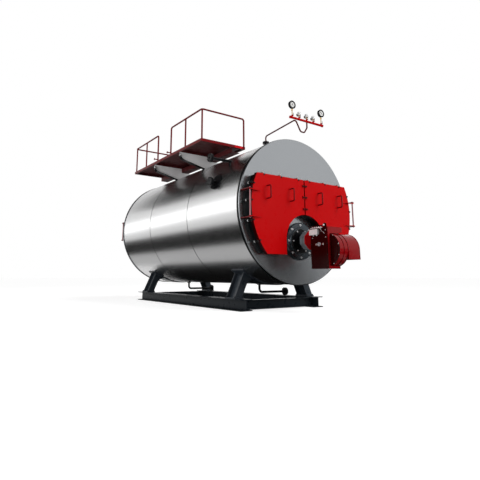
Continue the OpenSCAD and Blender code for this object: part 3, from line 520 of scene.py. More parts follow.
def makeBoltTree():
    t, sizes, out = newTree("boltTree", {"Head Radius": 0.014, "Head Height": 0.011, "Washer Radius": 0.02,
                                         "Washer Height": 0.003, "Stud Radius": 0.008, "Stud Length": 0.006,
                                         "Shaft Length": 0.004})
    join = t.nodes.new("GeometryNodeJoinGeometry")
    level = 0.0
    roundSides = 10
    for r, h, sides in (("Washer", "Washer Height", 20), ("Head", "Head Height", 6),
                        ("Stud", "Stud Length", roundSides)):
        part = drum(t, sides, sizes[r + " Radius"], sizes[h])
        middle = sums(t, "MULTIPLY_ADD", sizes[h], 0.5, level)
        t.links.new(moved(t, part, vector(t, z=middle)), join.inputs[0])
        level = sums(t, "ADD", level, sizes[h])
    shaft = drum(t, roundSides, sizes["Stud Radius"], sizes["Shaft Length"])
    middle = sums(t, "MULTIPLY", sizes["Shaft Length"], -0.5)
    t.links.new(moved(t, shaft, vector(t, z=middle)), join.inputs[0])
    onPoints(t, sizes["Geometry"], join.outputs[0], out, sizes)
    return t


def makeTubeTree():
    # a tube end with its wall
    t, sizes, out = newTree("tubeEndTree", {"Tube Radius": 0.03, "Wall": 0.004, "Stand Out": 0.01})
    circle = t.nodes.new("GeometryNodeCurvePrimitiveCircle")
    circle.inputs["Resolution"].default_value = 20
    t.links.new(sums(t, "SUBTRACT", sizes["Tube Radius"], sums(t, "MULTIPLY", sizes["Wall"], 0.5)),
                circle.inputs["Radius"])
    section = t.nodes.new("GeometryNodeCurvePrimitiveQuadrilateral")
    t.links.new(sizes["Wall"], section.inputs["Width"])
    t.links.new(sizes["Stand Out"], section.inputs["Height"])
    ring = t.nodes.new("GeometryNodeCurveToMesh")
    t.links.new(circle.outputs[0], ring.inputs["Curve"])
    t.links.new(section.outputs[0], ring.inputs["Profile Curve"])
    lifted = moved(t, ring.outputs[0], vector(t, z=sums(t, "MULTIPLY", sizes["Stand Out"], 0.5)))
    onPoints(t, sizes["Geometry"], lifted, out, sizes)
    return t


def makeLugTree():
    # raised lugs of a tread plate, turned left and right by turns
    t, sizes, out = newTree("treadTree", {"Lug Length": 0.03, "Lug Width": 0.008, "Lug Height": 0.0018})
    ball = t.nodes.new("GeometryNodeMeshIcoSphere")
    ball.inputs["Radius"].default_value = 0.5
    ball.inputs["Subdivisions"].default_value = 1
    lug = moved(t, ball.outputs[0], scale=vector(t, sizes["Lug Length"], sizes["Lug Width"],
                                                 sums(t, "MULTIPLY", sizes["Lug Height"], 2.0)))
    side = t.nodes.new("GeometryNodeInputNamedAttribute")
    side.data_type = "FLOAT"
    side.inputs["Name"].default_value = "side"
    onPoints(t, sizes["Geometry"], lug, out, sizes, aimed=False,
             spin=vector(t, z=sums(t, "MULTIPLY", side.outputs["Attribute"], math.pi / 4)))
    return t


def makeBarTree():
    # a small bar lying along each point's aim: dial marks and fan blades
    t, sizes, out = newTree("barTree", {"Bar Length": 0.01, "Bar Width": 0.001, "Bar Thickness": 0.0003})
    cube = t.nodes.new("GeometryNodeMeshCube")
    size = vector(t, sizes["Bar Width"], sizes["Bar Thickness"], sizes["Bar Length"])
    t.links.new(size, cube.inputs["Size"])
    onPoints(t, sizes["Geometry"], cube.outputs[0], out, sizes)
    return t


def evaluatedMesh(obj):
    bpy.context.view_layer.update()
    return bpy.data.meshes.new_from_object(obj.evaluated_get(bpy.context.evaluated_depsgraph_get()))


def grow(name, tree, points, values, which, body="boiler", aims=None, sides=None, smooth=35):
    base = bpy.data.meshes.new(name + "Points")
    base.from_pydata([tuple(p) for p in points], [], [])
    if aims is not None:
        flat = [c for a in aims for c in a]
        base.attributes.new("aim", "FLOAT_VECTOR", "POINT").data.foreach_set("vector", flat)
    if sides is not None:
        base.attributes.new("side", "FLOAT", "POINT").data.foreach_set("value", sides)
    seed = bpy.data.objects.new(name + "Seed", base)
    scene.collection.objects.link(seed)
    mod = seed.modifiers.new("grow", "NODES")
    mod.node_group = tree
    for item in tree.interface.items_tree:
        if item.item_type == "SOCKET" and item.in_out == "INPUT":
            if item.name in values:
                mod[item.identifier] = values[item.name]
            elif item.name == "Finish":
                mod[item.identifier] = finish[which]
    mesh = evaluatedMesh(seed)
    mesh.name = name
    for extra in ("aim", "side"):
        if extra in mesh.attributes:
            mesh.attributes.remove(mesh.attributes[extra])
    seed.modifiers.remove(mod)
    bpy.data.objects.remove(seed)
    bpy.data.meshes.remove(base)
    mesh.shade_smooth()
    mesh.set_sharp_from_angle(angle=math.radians(smooth))
    keep(name, mesh, which, body)


boltTree, tubeTree, lugTree, barTree = makeBoltTree(), makeTubeTree(), makeLugTree(), makeBarTree()


def boltSize(head, height, washer, stud, plate=0.003, shaft=0.003):
    return {"Head Radius": head, "Head Height": height, "Washer Radius": washer, "Washer Height": plate,
            "Stud Radius": head * 0.55, "Stud Length": stud, "Shaft Length": shaft}


def bolts(name, points, aim, size, which="zinc", body="boiler"):
    aims = aim if isinstance(aim, list) else [aim] * len(points)
    grow(name, boltTree, points, size, which, body, aims)


def polar(radius, degrees):
    a = math.radians(degrees)
    return radius * math.cos(a), radius * math.sin(a)


def ringOf(count, radius, start=0.0, sweep=360.0):
    step = sweep / count if sweep == 360.0 else sweep / (count - 1)
    return [polar(radius, start + i * step) for i in range(count)]


print("tools ready")


finish.update(
    zinc=painted("boltZinc", (0.62, 0.62, 0.60), (0.50, 0.50, 0.49), (0.25, 0.4), metallic=0.9, cloud=20.0),
    darkBolt=painted("boltBlack", (0.02, 0.02, 0.02), (0.012, 0.012, 0.012), (0.3, 0.45),
                     metallic=0.2, cloud=20.0, shine=0.2),
    sealant=painted("seamSealant", (0.012, 0.012, 0.012), (0.008, 0.008, 0.008), (0.7, 0.9),
                    cloud=12.0, shine=0.02),
    refractory=painted("refractory", (0.58, 0.55, 0.48), (0.40, 0.37, 0.31), (0.85, 0.95),
                       cloud=7.0, shine=0.2, peel=60.0, depth=0.003),
    rope=painted("sealRope", (0.62, 0.60, 0.55), (0.45, 0.43, 0.38), (0.9, 1.0),
                 cloud=40.0, shine=0.2, peel=160.0, depth=0.002),
    tubeSteel=painted("tubeSteel", (0.24, 0.22, 0.20), (0.13, 0.11, 0.10), (0.45, 0.65),
                      metallic=0.7, cloud=14.0),
    # near-black for the insides of tubes and holes: painted shade
    bore=painted("paintedBoreShade", (0.006, 0.006, 0.006), (0.004, 0.004, 0.004), (0.8, 0.9), cloud=10.0),
    brass=painted("stemBrass", (0.66, 0.44, 0.13), (0.55, 0.35, 0.10), (0.22, 0.36),
                  metallic=1.0, cloud=30.0),
    dialWhite=painted("dialWhite", (0.86, 0.86, 0.84), (0.80, 0.80, 0.78), (0.35, 0.45),
                      cloud=9.0, shine=0.4, peel=200.0, depth=0.00005),
    ink=painted("dialInk", (0.012, 0.012, 0.012), (0.008, 0.008, 0.008), (0.4, 0.5),
                cloud=30.0, shine=0.4, peel=200.0, depth=0.00005),
    brightRed=painted("brightRed", (0.68, 0.008, 0.012), (0.62, 0.006, 0.010), (0.3, 0.4),
                      cloud=6.0, shine=0.15),
    wool=painted("gasketWool", (0.050, 0.048, 0.046), (0.012, 0.012, 0.012), (0.85, 0.98),
                 cloud=26.0, shine=0.1, peel=90.0, depth=0.006),
    rubber=painted("blackRubber", (0.018, 0.018, 0.018), (0.012, 0.012, 0.012), (0.5, 0.65), cloud=20.0))
stems = dict(gaugeTop=barZ + 0.181, switchTop=barZ + 0.081, backY=barY + 0.02)
paintFaces("pressure_gauges", "brass", lambda c, n: c.z < stems["gaugeTop"])
paintFaces("pressure_switches", "brass", lambda c, n: c.z < stems["switchTop"])
paintFaces("pressure_switches", "rubber", lambda c, n: c.y > stems["backY"] and max(map(abs, n)) > 0.9995)


# cladding seams: sealant in the grooves and a riveted lap low on the right side
seams = dict(places=(1.853, 3.700), ends=(0.060, 5.440), width=0.016, endWidth=0.010,
             proud=0.0006, deep=0.006, lapAngle=-38.0, lapWidth=0.04, lapEnd=0.015,
             lapThick=0.0018, lapEdge=0.0002, lapDeep=0.003,
             lapRows=(-1, -0.9, -0.4, 0.4, 0.9, 1), rivetGap=0.12,
             rivet=boltSize(0.004, 0.0018, 0.007, 0.001, plate=0.001))


def makeSeams(p):
    bm = bmesh.new()
    low, high = shellR - p["deep"], shellR + p["proud"]
    for y in p["places"] + p["ends"]:
        w = (p["width"] if y in p["places"] else p["endWidth"]) / 2
        closedLathe(bm, [(low, -w), (high, -w), (high, w), (low, w)],
                    facing((0, faceY + y, axisZ), (0, 1, 0)), 160)
    fromBmesh("seamSealant", bm, "sealant")

    edges = sorted(p["places"] + p["ends"])
    spans = [(y0 + p["lapEnd"], y1 - p["lapEnd"]) for y0, y1 in zip(edges, edges[1:])]
    a = math.radians(p["lapAngle"])
    half = p["lapWidth"] / 2 / shellR
    rows = [(a + half * k, shellR + (p["lapThick"] if abs(k) < 1 else p["lapEdge"])) for k in p["lapRows"]]
    feet = [(rows[0][0], shellR - p["lapDeep"]), (rows[-1][0], shellR - p["lapDeep"])]

    def onShell(t, r, y):
        return r * math.cos(t), faceY + y, axisZ + r * math.sin(t)
    bm = bmesh.new()
    for y0, y1 in spans:
        low, top, lowFeet, topFeet = [[bm.verts.new(onShell(t, r, y)) for t, r in line]
                                      for line, y in ((rows, y0), (rows, y1), (feet, y0), (feet, y1))]
        for i in range(len(rows) - 1):
            bm.faces.new([low[i], low[i + 1], top[i + 1], top[i]])
        bm.faces.new([lowFeet[0], lowFeet[1], topFeet[1], topFeet[0]])
        bm.faces.new(low + [lowFeet[1], lowFeet[0]])
        bm.faces.new(top + [topFeet[1], topFeet[0]])
        bm.faces.new([low[0], top[0], topFeet[0], lowFeet[0]])
        bm.faces.new([low[-1], top[-1], topFeet[1], lowFeet[1]])
    fromBmesh("claddingLap", bm, "cladding")
    spots = []
    for y0, y1 in spans:
        n = int((y1 - y0) / p["rivetGap"])
        spots += [onShell(a, shellR + p["lapThick"], y0 + (i + 0.5) * (y1 - y0) / n) for i in range(n)]
    bolts("lapRivets", spots, (math.cos(a), 0, math.sin(a)), p["rivet"])


makeSeams(seams)
print("seams made")


# door bolts, lining and seal, on each leaf
doorBolts = dict(
    sideAngles=(16.6, 2.5, -13.3, -30.2), sideR=1.287, topX=(0.143, 0.569, 0.972), topZ=0.579,
    seamX=0.034, seamZ=(0.430, 0.215, -0.006), earFace=0.155, lugBack=0.0962, seamFace=0.204,
    face=0.190, rimR=1.246, rimZ=0.536,
    clamp=boltSize(0.017, 0.016, 0.022, 0.010, plate=0.004, shaft=0.044),
    topClamp=boltSize(0.012, 0.010, 0.016, 0.002, shaft=0.044),
    nut=boltSize(0.013, 0.010, 0.016, 0.004), clampHead=boltSize(0.020, 0.024, 0.023, 0.008, plate=0.004),
    seam=boltSize(0.013, 0.011, 0.018, 0.010))
lining = dict(front=0.1195, back=0.066, gap=0.03, outerR=1.224, top=0.516, low=0.819, archR=0.516,
              mullion=0.066, bevel=0.012, pinX=(0.25, 0.5, 0.75, 1.0),
              pinZ=(0.38, 0.16, -0.02, -0.25, -0.5, -0.7),
              pinOuterR=1.12, pinArchR=0.6, pin=boltSize(0.009, 0.004, 0.022, 0.006, plate=0.002))
seal = dict(inset=-0.007, mullion=0.03, depth=0.1178, radius=0.0022, sides=8)


def outline(inset, p, steps=22):
    # right half of the smoke box's inner outline, in x and z about the boiler axis
    outer, arch = p["outerR"] - inset, p["archR"] + inset
    top, low, left = p["top"] - inset, -p["low"] + inset, p["mullion"] + inset * 0.4
    a0 = math.atan2(top, math.sqrt(outer * outer - top * top))
    a1 = math.atan2(low, math.sqrt(outer * outer - low * low))
    turns = [a0 + (a1 - a0) * i / steps for i in range(steps + 1)]
    points = [(left, top)] + [(outer * math.cos(a), outer * math.sin(a)) for a in turns] + [(arch, low)]
    turns = [math.acos(left / arch) * i / steps for i in range(steps + 1)]
    return points + [(arch * math.cos(a), burnerZ - axisZ + arch * math.sin(a)) for a in turns]


def plateOf(bm, points, place, side, near, far, bevel):
    # closed plate between two depths, bevelled on the near rim
    cx = sum(x for x, z in points) / len(points)
    cz = sum(z for x, z in points) / len(points)

    def ring(shrink, d):
        return [bm.verts.new(place(side * (x + (cx - x) * shrink), d, axisZ + z + (cz - z) * shrink))
                for x, z in points]
    edge = near + (far - near) * 0.25
    rings = [ring(0.0, far), ring(0.0, edge), ring(bevel, near)]
    for a, b in zip(rings, rings[1:]):
        for i in range(len(a)):
            j = (i + 1) % len(a)
            bm.faces.new([a[i], a[j], b[j], b[i]])
    bmesh.ops.triangulate(bm, faces=[bm.faces.new(rings[0]), bm.faces.new(rings[-1])])


def makeDoorFittings(end, place, ahead, p, q):
    out, back = (0, -ahead, 0), (0, ahead, 0)
    for side, sign in (("left", -1), ("right", 1)):
        body = f"{end}_{side}_leaf"
        name = f"{end}_{side}_"

        def onLeaf(points, depth):
            return [place(sign * x, depth, axisZ + z) for x, z in points]
        clamps = [polar(p["sideR"], a) for a in p["sideAngles"]]
        spots = onLeaf(clamps, p["earFace"])
        bolts(name + "clampBolts", spots, out, p["clamp"], "darkBolt", body)
        spots = onLeaf([(x, p["topZ"]) for x in p["topX"]], p["earFace"])
        bolts(name + "topClampBolts", spots, out, p["topClamp"], body=body)
        rim = [polar(p["rimR"], a) for a in p["sideAngles"]] + [(x, p["rimZ"]) for x in p["topX"]]
        bolts(name + "rimNuts", onLeaf(rim, p["face"]), out, p["nut"], "darkBolt", body)
        # these stay on the smoke box
        spots = onLeaf(clamps, p["lugBack"])
        bolts(name + "clampHeads", spots, back, p["clampHead"], "bright")
        spots = onLeaf([(p["seamX"], z) for z in p["seamZ"]], p["seamFace"])
        bolts(name + "seamBolts", spots, out, p["seam"], "darkBolt", body)

        bm = bmesh.new()
        plateOf(bm, outline(q["gap"], q), place, sign, q["back"], q["front"], q["bevel"])
        fromBmesh(name + "lining", bm, "refractory", body, 30)
        bm = bmesh.new()
        rope = onLeaf(outline(seal["inset"], dict(q, mullion=seal["mullion"])), seal["depth"])
        tube(bm, rope + rope[:2], seal["radius"], seal["sides"])
        fromBmesh(name + "sealRope", bm, "rope", body)
        pins = [(x, z) for x in q["pinX"] for z in q["pinZ"]
                if math.hypot(x, z) < q["pinOuterR"] and math.hypot(x, z + axisZ - burnerZ) > q["pinArchR"]]
        bolts(name + "liningPins", onLeaf(pins, q["back"]), back, q["pin"], "tubeSteel", body)


makeDoorFittings("front", front, 1, doorBolts, lining)
makeDoorFittings("rear", rear, -1, doorBolts, lining)
print("door fittings made")


# tube ends on the plate behind the doors
tubes = dict(pitch=0.094, rowShare=0.866, height=2.6, across=14, drop=0.02, margin=0.07,
             radius=0.0315, wall=0.004, standOut=0.012)


def makeTubes(end, place, ahead, p):
    spots = []
    rowPitch = p["pitch"] * p["rowShare"]
    rows = int(p["height"] / rowPitch)
    outer, arch = lining["outerR"] - p["margin"], lining["archR"] + p["margin"]
    top, low = lining["top"] - p["margin"], -lining["low"] + p["margin"]
    for j in range(-rows // 2, rows // 2 + 1):
        for i in range(-p["across"], p["across"] + 1):
            x = (i + 0.5 * (j % 2)) * p["pitch"]
            z = j * rowPitch - p["drop"]
            if math.hypot(x, z) > outer or z > top or z < low:
                continue
            if math.hypot(x, z + axisZ - burnerZ) < arch or abs(x) < arch and z < burnerZ - axisZ:
                continue
            spots.append(place(x, 0.0, axisZ + z))
    out = (0, -ahead, 0)
    size = {"Tube Radius": p["radius"], "Wall": p["wall"], "Stand Out": p["standOut"]}
    grow(f"{end}_tubeEnds", tubeTree, spots, size, "tubeSteel", aims=[out] * len(spots))
    # a near-black disc in each tube's mouth: painted shade of the bore
    bore = boltSize(0.001, 0.0002, p["radius"] - p["wall"], 0.0002, plate=0.001, shaft=0.0002)
    bolts(f"{end}_tubeBores", spots, out, bore, "bore")
    return len(spots)


print("tube ends:", makeTubes("front", front, 1, tubes), makeTubes("rear", rear, -1, tubes))


# torn gasket wool round the burner's throat, ragged by three waves
wool = dict(radius=0.212, face=0.055, sunk=0.006, steps=96, rag=0.012, swell=0.25,
            rows=[(-0.03, 0.004), (-0.012, 0.010), (0.004, 0.010), (0.014, 0.005), (0.018, 0.0)],
            waves=[(7, 1.0, 0.5), (17, 2.1, 0.35), (29, 5.0, 0.3)])


def makeWool(p):
    bm = bmesh.new()
    turns = [2 * math.pi * i / p["steps"] for i in range(p["steps"])]
    back = p["face"] - p["sunk"]

    def vert(r, d, a):
        return bm.verts.new(front(r * math.cos(a), d, burnerZ + r * math.sin(a)))
    rings = []
    for k, (dr, dd) in enumerate(p["rows"]):
        ring = []
        last = k == len(p["rows"]) - 1
        for a in turns:
            rag = sum(high * math.sin(w * a + shift * k) for w, shift, high in p["waves"])
            r = p["radius"] + dr + p["rag"] * rag * (k > 0)
            ring.append(vert(r, back if last else p["face"] + dd * (1 + p["swell"] * rag), a))
        rings.append(ring)
    rings = [[vert(p["radius"] + p["rows"][0][0], back, a) for a in turns]] + rings
    for a, b in zip(rings, rings[1:] + rings[:1]):
        for i in range(p["steps"]):
            j = (i + 1) % p["steps"]
            bm.faces.new([a[i], a[j], b[j], b[i]])
    fromBmesh("gasketWool", bm, "wool", smooth=60)


# bolts of the burner's mount and throat; screws, boss, lever pin, terminal strip and linkage on its left side
burner = dict(
    mountR=0.300, mountFace=0.047, throatR=0.200, throatFace=0.067, side=-0.180, front=0.880, leverZ=1.474,
    coverY=(0.04, 0.34), coverZ=(0.010, 0.135), edgeY=(0.022, 0.378), edgeZ=(0.80, 0.98, 1.16),
    bossY=0.19, bossZ=-0.1, bossHalf=0.078, stripY=(0.186, 0.364), stripZ=(0.158, 0.172, 0.188), barY=0.100,
    knobs=5, knobY=0.125, knobGap=0.05, barOut=0.026,
    mount=boltSize(0.014, 0.013, 0.020, 0.012), throat=boltSize(0.011, 0.012, 0.015, 0.008),
    cover=boltSize(0.007, 0.005, 0.011, 0.002, plate=0.002), boss=boltSize(0.013, 0.012, 0.019, 0.008),
    edge=boltSize(0.006, 0.004, 0.010, 0.002, plate=0.002),
    ring=[(0, 0), (0.034, 0), (0.036, 0.002), (0.036, 0.006), (0.028, 0.009), (0.024, 0.006), (0, 0.005)],
    pin=[(0, 0), (0.014, 0), (0.016, 0.003), (0.016, 0.014), (0.011, 0.018), (0, 0.018)],
    knob=[(0, 0), (0.007, 0), (0.007, 0.010), (0.005, 0.012), (0, 0.012)],
    rod=[(0.026, 0.150, 0.178), (0.026, 0.105, 0.120), (0.020, 0.052, 0.074)])


def makeBurnerFixings(p):
    ahead, left = (0, -1, 0), (-1, 0, 0)

    def at(out, y, z):
        return Vector((p["side"] - out, faceY - p["front"] + y, z))
    spots = [front(x, p["mountFace"], burnerZ + z) for x, z in ringOf(8, p["mountR"])]
    bolts("mountBolts", spots, ahead, p["mount"], "bright")
    spots = [front(x, p["throatFace"], burnerZ + z) for x, z in ringOf(6, p["throatR"])]
    bolts("throatBolts", spots, ahead, p["throat"], "bright")
    makeWool(wool)
    spots = [at(0.010, y, burnerZ + z) for y in p["coverY"] for z in p["coverZ"]]
    bolts("coverScrews", spots, left, p["cover"])
    z = burnerZ + p["bossZ"]
    spots = [at(0, p["bossY"] + dy, z) for dy in (-p["bossHalf"], p["bossHalf"])]
    bolts("bossBolts", spots, left, p["boss"])
    edge = [at(0, y, h) for y in p["edgeY"] for h in p["edgeZ"]]
    bolts("casingScrews", edge, left, p["edge"], "darkBolt")

    turned("bossRing", p["ring"], facing(at(0.014, p["bossY"], z), left), 40, "flange")
    turned("leverPin", p["pin"], facing(at(0.024, 0.051, p["leverZ"]), left), 28, "bright")
    (y0, y1), (z0, z1, z2) = p["stripY"], [burnerZ + z for z in p["stripZ"]]
    bm = bmesh.new()
    block(bm, at(0.062, y0, z0), at(0.011, y1, z1))
    fromBmesh("terminalStrip", bm, "rubber")
    bm = bmesh.new()
    block(bm, at(0.040, p["barY"], z1), at(0.011, y1, z2))
    for k in range(p["knobs"]):
        lathe(bm, p["knob"], facing(at(p["barOut"], p["knobY"] + p["knobGap"] * k, z2), (0, 0, 1)), 16)
    tube(bm, [at(out, y, burnerZ + z) for out, y, z in p["rod"]], 0.004, 10)
    fromBmesh("linkage", bm, "bright")


makeBurnerFixings(burner)

# fan: rim bolts, wheel blades in the intake, rivets round the hood
fan = dict(x=-0.120, right=0.100, y=0.790, radius=0.290, rimInset=0.012, hoodR=0.2822, hoodX=(0.124, 0.364),
           blades=26, bladeR=0.110, bladeX=0.040, lean=0.5, plateX=0.006,
           rim=boltSize(0.007, 0.006, 0.010, 0.003, plate=0.002),
           rivet=boltSize(0.005, 0.0025, 0.007, 0.001, plate=0.001),
           blade={"Bar Length": 0.088, "Bar Width": 0.055, "Bar Thickness": 0.002},
           plate=[(0.062, -0.004), (0.064, -0.004), (0.064, 0.006),
                  (0.154, 0.006), (0.154, 0.009), (0.062, 0.009)])


def makeFanFixings(p):
    centre = front(0, p["y"], fanZ)
    rim = [centre + Vector((p["x"], -y, z)) for y, z in ringOf(4, p["radius"] - p["rimInset"], -58, 116)]
    bolts("fanRimBolts", rim, (-1, 0, 0), p["rim"])
    hood = [(x, y, z) for y, z in ringOf(13, p["hoodR"], -8, 196) for x in p["hoodX"]]
    spots = [centre + Vector((x, -y, z)) for x, y, z in hood]
    bolts("hoodRivets", spots, [(0, -y, z) for x, y, z in hood], p["rivet"], "burner")
    wheel = ringOf(p["blades"], p["bladeR"])
    spots = [centre + Vector((p["bladeX"], -y, z)) for y, z in wheel]
    aims = [(0, -y - z * p["lean"], z - y * p["lean"]) for y, z in wheel]
    grow("fanBlades", barTree, spots, p["blade"], "tubeSteel", aims=aims)
    turned("fanWheelPlate", p["plate"], facing(centre + Vector((p["plateX"], 0, 0)), (1, 0, 0)), 48,
           "tubeSteel", maker=closedLathe)


makeFanFixings(fan)
print("burner details made")


# flange bolts on the nozzle, side pipes, drains, flue, hatch and saddles
flanges = dict(
    nozzleY=0.915, nozzleTop=3.453, nozzleRing=(6, 0.058, 15), pipeRing=(8, 0.068, 22.5), thick=0.046,
    levelY=0.899, levelX=-1.438, levelZ=(2.868, 2.403), drainX=0.724, drainY=(1.206, 4.190), drainZ=0.296,
    flueZ=2.778, flueFace=0.180, flueRing=(16, 0.254), sootAndShadeR=0.218,
    hatchFace=0.045, hatchRing=(12, 0.266, 15),
    saddleX=0.910, saddleY=(0.829, 4.717), saddleTop=0.232, footX=0.088, footY=0.148,
    pipe=boltSize(0.009, 0.008, 0.012, 0.008, plate=0.002),
    nut=boltSize(0.009, 0.008, 0.012, 0.008, plate=0.001),
    hole=boltSize(0.002, 0.0002, 0.008, 0.0002, plate=0.0008, shaft=0.0005),
    hatch=boltSize(0.013, 0.011, 0.019, 0.012), foot=boltSize(0.013, 0.011, 0.014, 0.010, plate=0.002))


def makeFlangeBolts(p):
    behind = (0, 1, 0)
    pipe = ringOf(*p["pipeRing"])
    spots = [(x, faceY + p["nozzleY"] + y, p["nozzleTop"]) for x, y in ringOf(*p["nozzleRing"])]
    bolts("nozzleBolts", spots, (0, 0, 1), p["pipe"], "darkBolt")
    spots = [(p["levelX"], faceY + p["levelY"] + y, z + h) for z in p["levelZ"] for y, h in pipe]
    bolts("levelBolts", spots, (-1, 0, 0), p["pipe"], "darkBolt")
    spots = [(x + p["thick"], y, z) for x, y, z in spots]
    bolts("levelNuts", spots, (1, 0, 0), p["nut"], "darkBolt")
    spots = [(p["drainX"], faceY + d + y, p["drainZ"] + h) for d in p["drainY"] for y, h in pipe]
    bolts("drainBolts", spots, (1, 0, 0), p["pipe"], "darkBolt")
    # near-black discs in the flue flange's holes: painted shade
    spots = [rear(x, p["flueFace"], p["flueZ"] + z) for x, z in ringOf(*p["flueRing"])]
    bolts("flueHoles", spots, behind, p["hole"], "bore")
    # a near-black disc across the flue's mouth: flue deposits and painted shade
    sootAndShade = [(0, 0), (p["sootAndShadeR"], 0), (p["sootAndShadeR"], 0.0015), (0, 0.0015)]
    turned("flueSootAndShade", sootAndShade, facing(rear(0, 0, p["flueZ"]), behind), 64, "bore")
    spots = [rear(x, p["hatchFace"], burnerZ + z) for x, z in ringOf(*p["hatchRing"])]
    bolts("hatchBolts", spots, behind, p["hatch"])
    spots = [(side * (p["saddleX"] + dx), faceY + y + dy, p["saddleTop"]) for side in (-1, 1)
             for y in p["saddleY"] for dx in (-p["footX"], p["footX"]) for dy in (-p["footY"], p["footY"])]
    bolts("saddleBolts", spots, (0, 0, 1), p["foot"], "darkBolt")


makeFlangeBolts(flanges)


# platform: tread lugs on the deck, bolts, and the red plate on the front channel
deck = dict(x=(-1.308, -0.262), y=(1.412, 4.888), top=3.426, pitch=0.052,
            lug={"Lug Length": 0.034, "Lug Width": 0.010, "Lug Height": 0.0018},
            plate=((-0.501, 1.364, 3.366), (-0.289, 1.3702, 3.414)),
            boltX=(-0.510, -0.610, -0.810), boltY=(2.335, 3.685), boltZ=3.40,
            bolt=boltSize(0.010, 0.008, 0.014, 0.006))


def makeDeckTread(p):
    (x0, x1), (y0, y1) = p["x"], p["y"]
    nx, ny = int((x1 - x0) / p["pitch"]), int((y1 - y0) / p["pitch"])
    stepX, stepY = (x1 - x0) / nx, (y1 - y0) / ny
    corners = ((0, 0), (0, ny - 1))
    grid = [(i, j) for i in range(nx) for j in range(ny) if (i, j) not in corners]
    spots = [(x0 + (i + 0.5) * stepX, faceY + y0 + (j + 0.5) * stepY, p["top"]) for i, j in grid]
    sides = [1.0 if (i + j) % 2 else -1.0 for i, j in grid]
    grow("deckTread", lugTree, spots, p["lug"], "deck", sides=sides, smooth=60)
    bm = bmesh.new()
    block(bm, *[(x, faceY + y, z) for x, y, z in p["plate"]])
    fromBmesh("frontChannelPlate", bm, "brightRed")
    spots = [(x, faceY + y, p["boltZ"]) for y in p["boltY"] for x in p["boltX"]]
    bolts("bracketBolts", spots, (0, -1, 0), p["bolt"])


makeDeckTread(deck)
print("platform details made")


# gauges: dial, bezel, marks, figures and pointer
gauge = dict(
    x=(-0.085, 0.731), z=3.964, face=0.0322, radius=0.056, bezel=0.0738, low=225.0, sweep=270.0,
    reading=(0.42, 0.36), marks=50, mainEvery=10, markIn=0.0075, mainIn=0.0100, markOut=0.0011,
    figures=6, figureStep=5, figureSize=0.014, figureR=0.033, figureOut=0.0013, pointerOut=0.0035,
    mark={"Bar Length": 0.005, "Bar Width": 0.0009, "Bar Thickness": 0.0003},
    mainMark={"Bar Length": 0.010, "Bar Width": 0.0022, "Bar Thickness": 0.0003},
    pointer=[(0.044, 0), (0.012, 0.0035), (-0.004, 0.005), (-0.022, 0.003),
             (-0.022, -0.003), (-0.004, -0.005), (0.012, -0.0035)],
    hub=[(0, -0.003), (0.005, -0.003), (0.005, 0.0025), (0.003, 0.0035), (0, 0.0035)])


def onDial(p, share):
    # direction of a share of the scale, seen from the front
    a = math.radians(p["low"] - p["sweep"] * share)
    return Vector((math.cos(a), 0, math.sin(a)))


def makeFigure(name, words, size, place):
    curve = bpy.data.curves.new("figure", "FONT")
    curve.body = words
    curve.size = size
    curve.extrude = 0.0002
    curve.align_x = curve.align_y = "CENTER"
    text = bpy.data.objects.new("figure", curve)
    scene.collection.objects.link(text)
    mesh = evaluatedMesh(text)
    bpy.data.objects.remove(text)
    mesh.transform(Matrix.Translation(place) @ Matrix.Rotation(math.radians(90), 4, "X"))
    keep(name, mesh, "ink", "boiler")


def makePointer(name, p, turn, share):
    bm = bmesh.new()
    d = turn.inverted().to_3x3() @ onDial(p, share)
    n = Vector((-d.y, d.x, 0))
    for z in (0.0, 0.0012):
        bm.faces.new([bm.verts.new(turn @ (d * a + n * b + Vector((0, 0, z)))) for a, b in p["pointer"]])
    bm.verts.ensure_lookup_table()
    m = len(p["pointer"])
    for i in range(m):
        j = (i + 1) % m
        bm.faces.new([bm.verts[i], bm.verts[j], bm.verts[m + j], bm.verts[m + i]])
    lathe(bm, p["hub"], turn, 20)
    fromBmesh(name, bm, "ink")


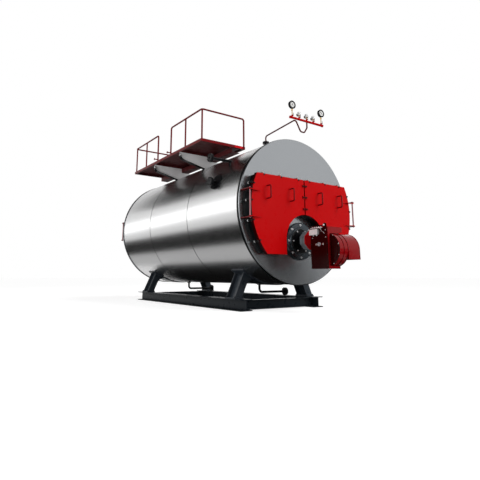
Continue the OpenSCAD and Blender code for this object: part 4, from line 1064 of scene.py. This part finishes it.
def makeGauges(p):
    spots, aims, mainSpots, mainAims = [], [], [], []
    r, rim = p["radius"], p["bezel"]
    dial = [(0, -0.0005), (r, -0.0005), (r, 0.0006), (r - 0.001, 0.0010), (0, 0.0010)]
    bezel = [(r - 0.0005, -0.0005), (r - 0.0005, 0.0012), (r, 0.0022), (rim, 0.0055), (rim, -0.0005)]
    for k, x in enumerate(p["x"]):
        here = front(x, p["face"], p["z"])
        level = facing(here, (0, -1, 0))
        turned(f"dial{k}", dial, level, 64, "dialWhite", 50)
        turned(f"bezel{k}", bezel, level, 64, "black", 50, closedLathe)
        for i in range(p["marks"] + 1):
            d = onDial(p, i / p["marks"])
            main = i % p["mainEvery"] == 0
            inset = p["mainIn"] if main else p["markIn"]
            (mainSpots if main else spots).append(here + d * (r - inset) - Vector((0, p["markOut"], 0)))
            (mainAims if main else aims).append(tuple(d))
        for i in range(p["figures"]):
            place = here + onDial(p, i / (p["figures"] - 1)) * p["figureR"] - Vector((0, p["figureOut"], 0))
            makeFigure(f"figure{k}_{i}", str(i * p["figureStep"]), p["figureSize"], place)
        turn = facing(here - Vector((0, p["pointerOut"], 0)), (0, -1, 0))
        makePointer(f"pointer{k}", p, turn, p["reading"][k])
    grow("dialMarks", barTree, spots, p["mark"], "ink", aims=aims)
    grow("dialMainMarks", barTree, mainSpots, p["mainMark"], "ink", aims=mainAims)


makeGauges(gauge)


# lever handles on the cocks
cocks = dict(places=(-0.085, 0.731, 0.105, 0.312, 0.500), z=3.736, d=0.049, half=0.005,
             depths=(0.003, -0.002), heights=(-0.012, 0.052),
             hub=[(0, 0), (0.007, 0), (0.007, 0.006), (0.004, 0.009), (0, 0.009)])


def makeCockLevers(p):
    bm = bmesh.new()
    for x in p["places"]:
        corners = [front(x + side * p["half"], p["d"] + d, p["z"] + z)
                   for side, d, z in zip((-1, 1), p["depths"], p["heights"])]
        block(bm, *corners, 0.0015)
        lathe(bm, p["hub"], facing(front(x, p["d"] + 0.002, p["z"]), (0, -1, 0)), 16)
    fromBmesh("cockLevers", bm, "darkBolt")


makeCockLevers(cocks)
print("gauge set made")
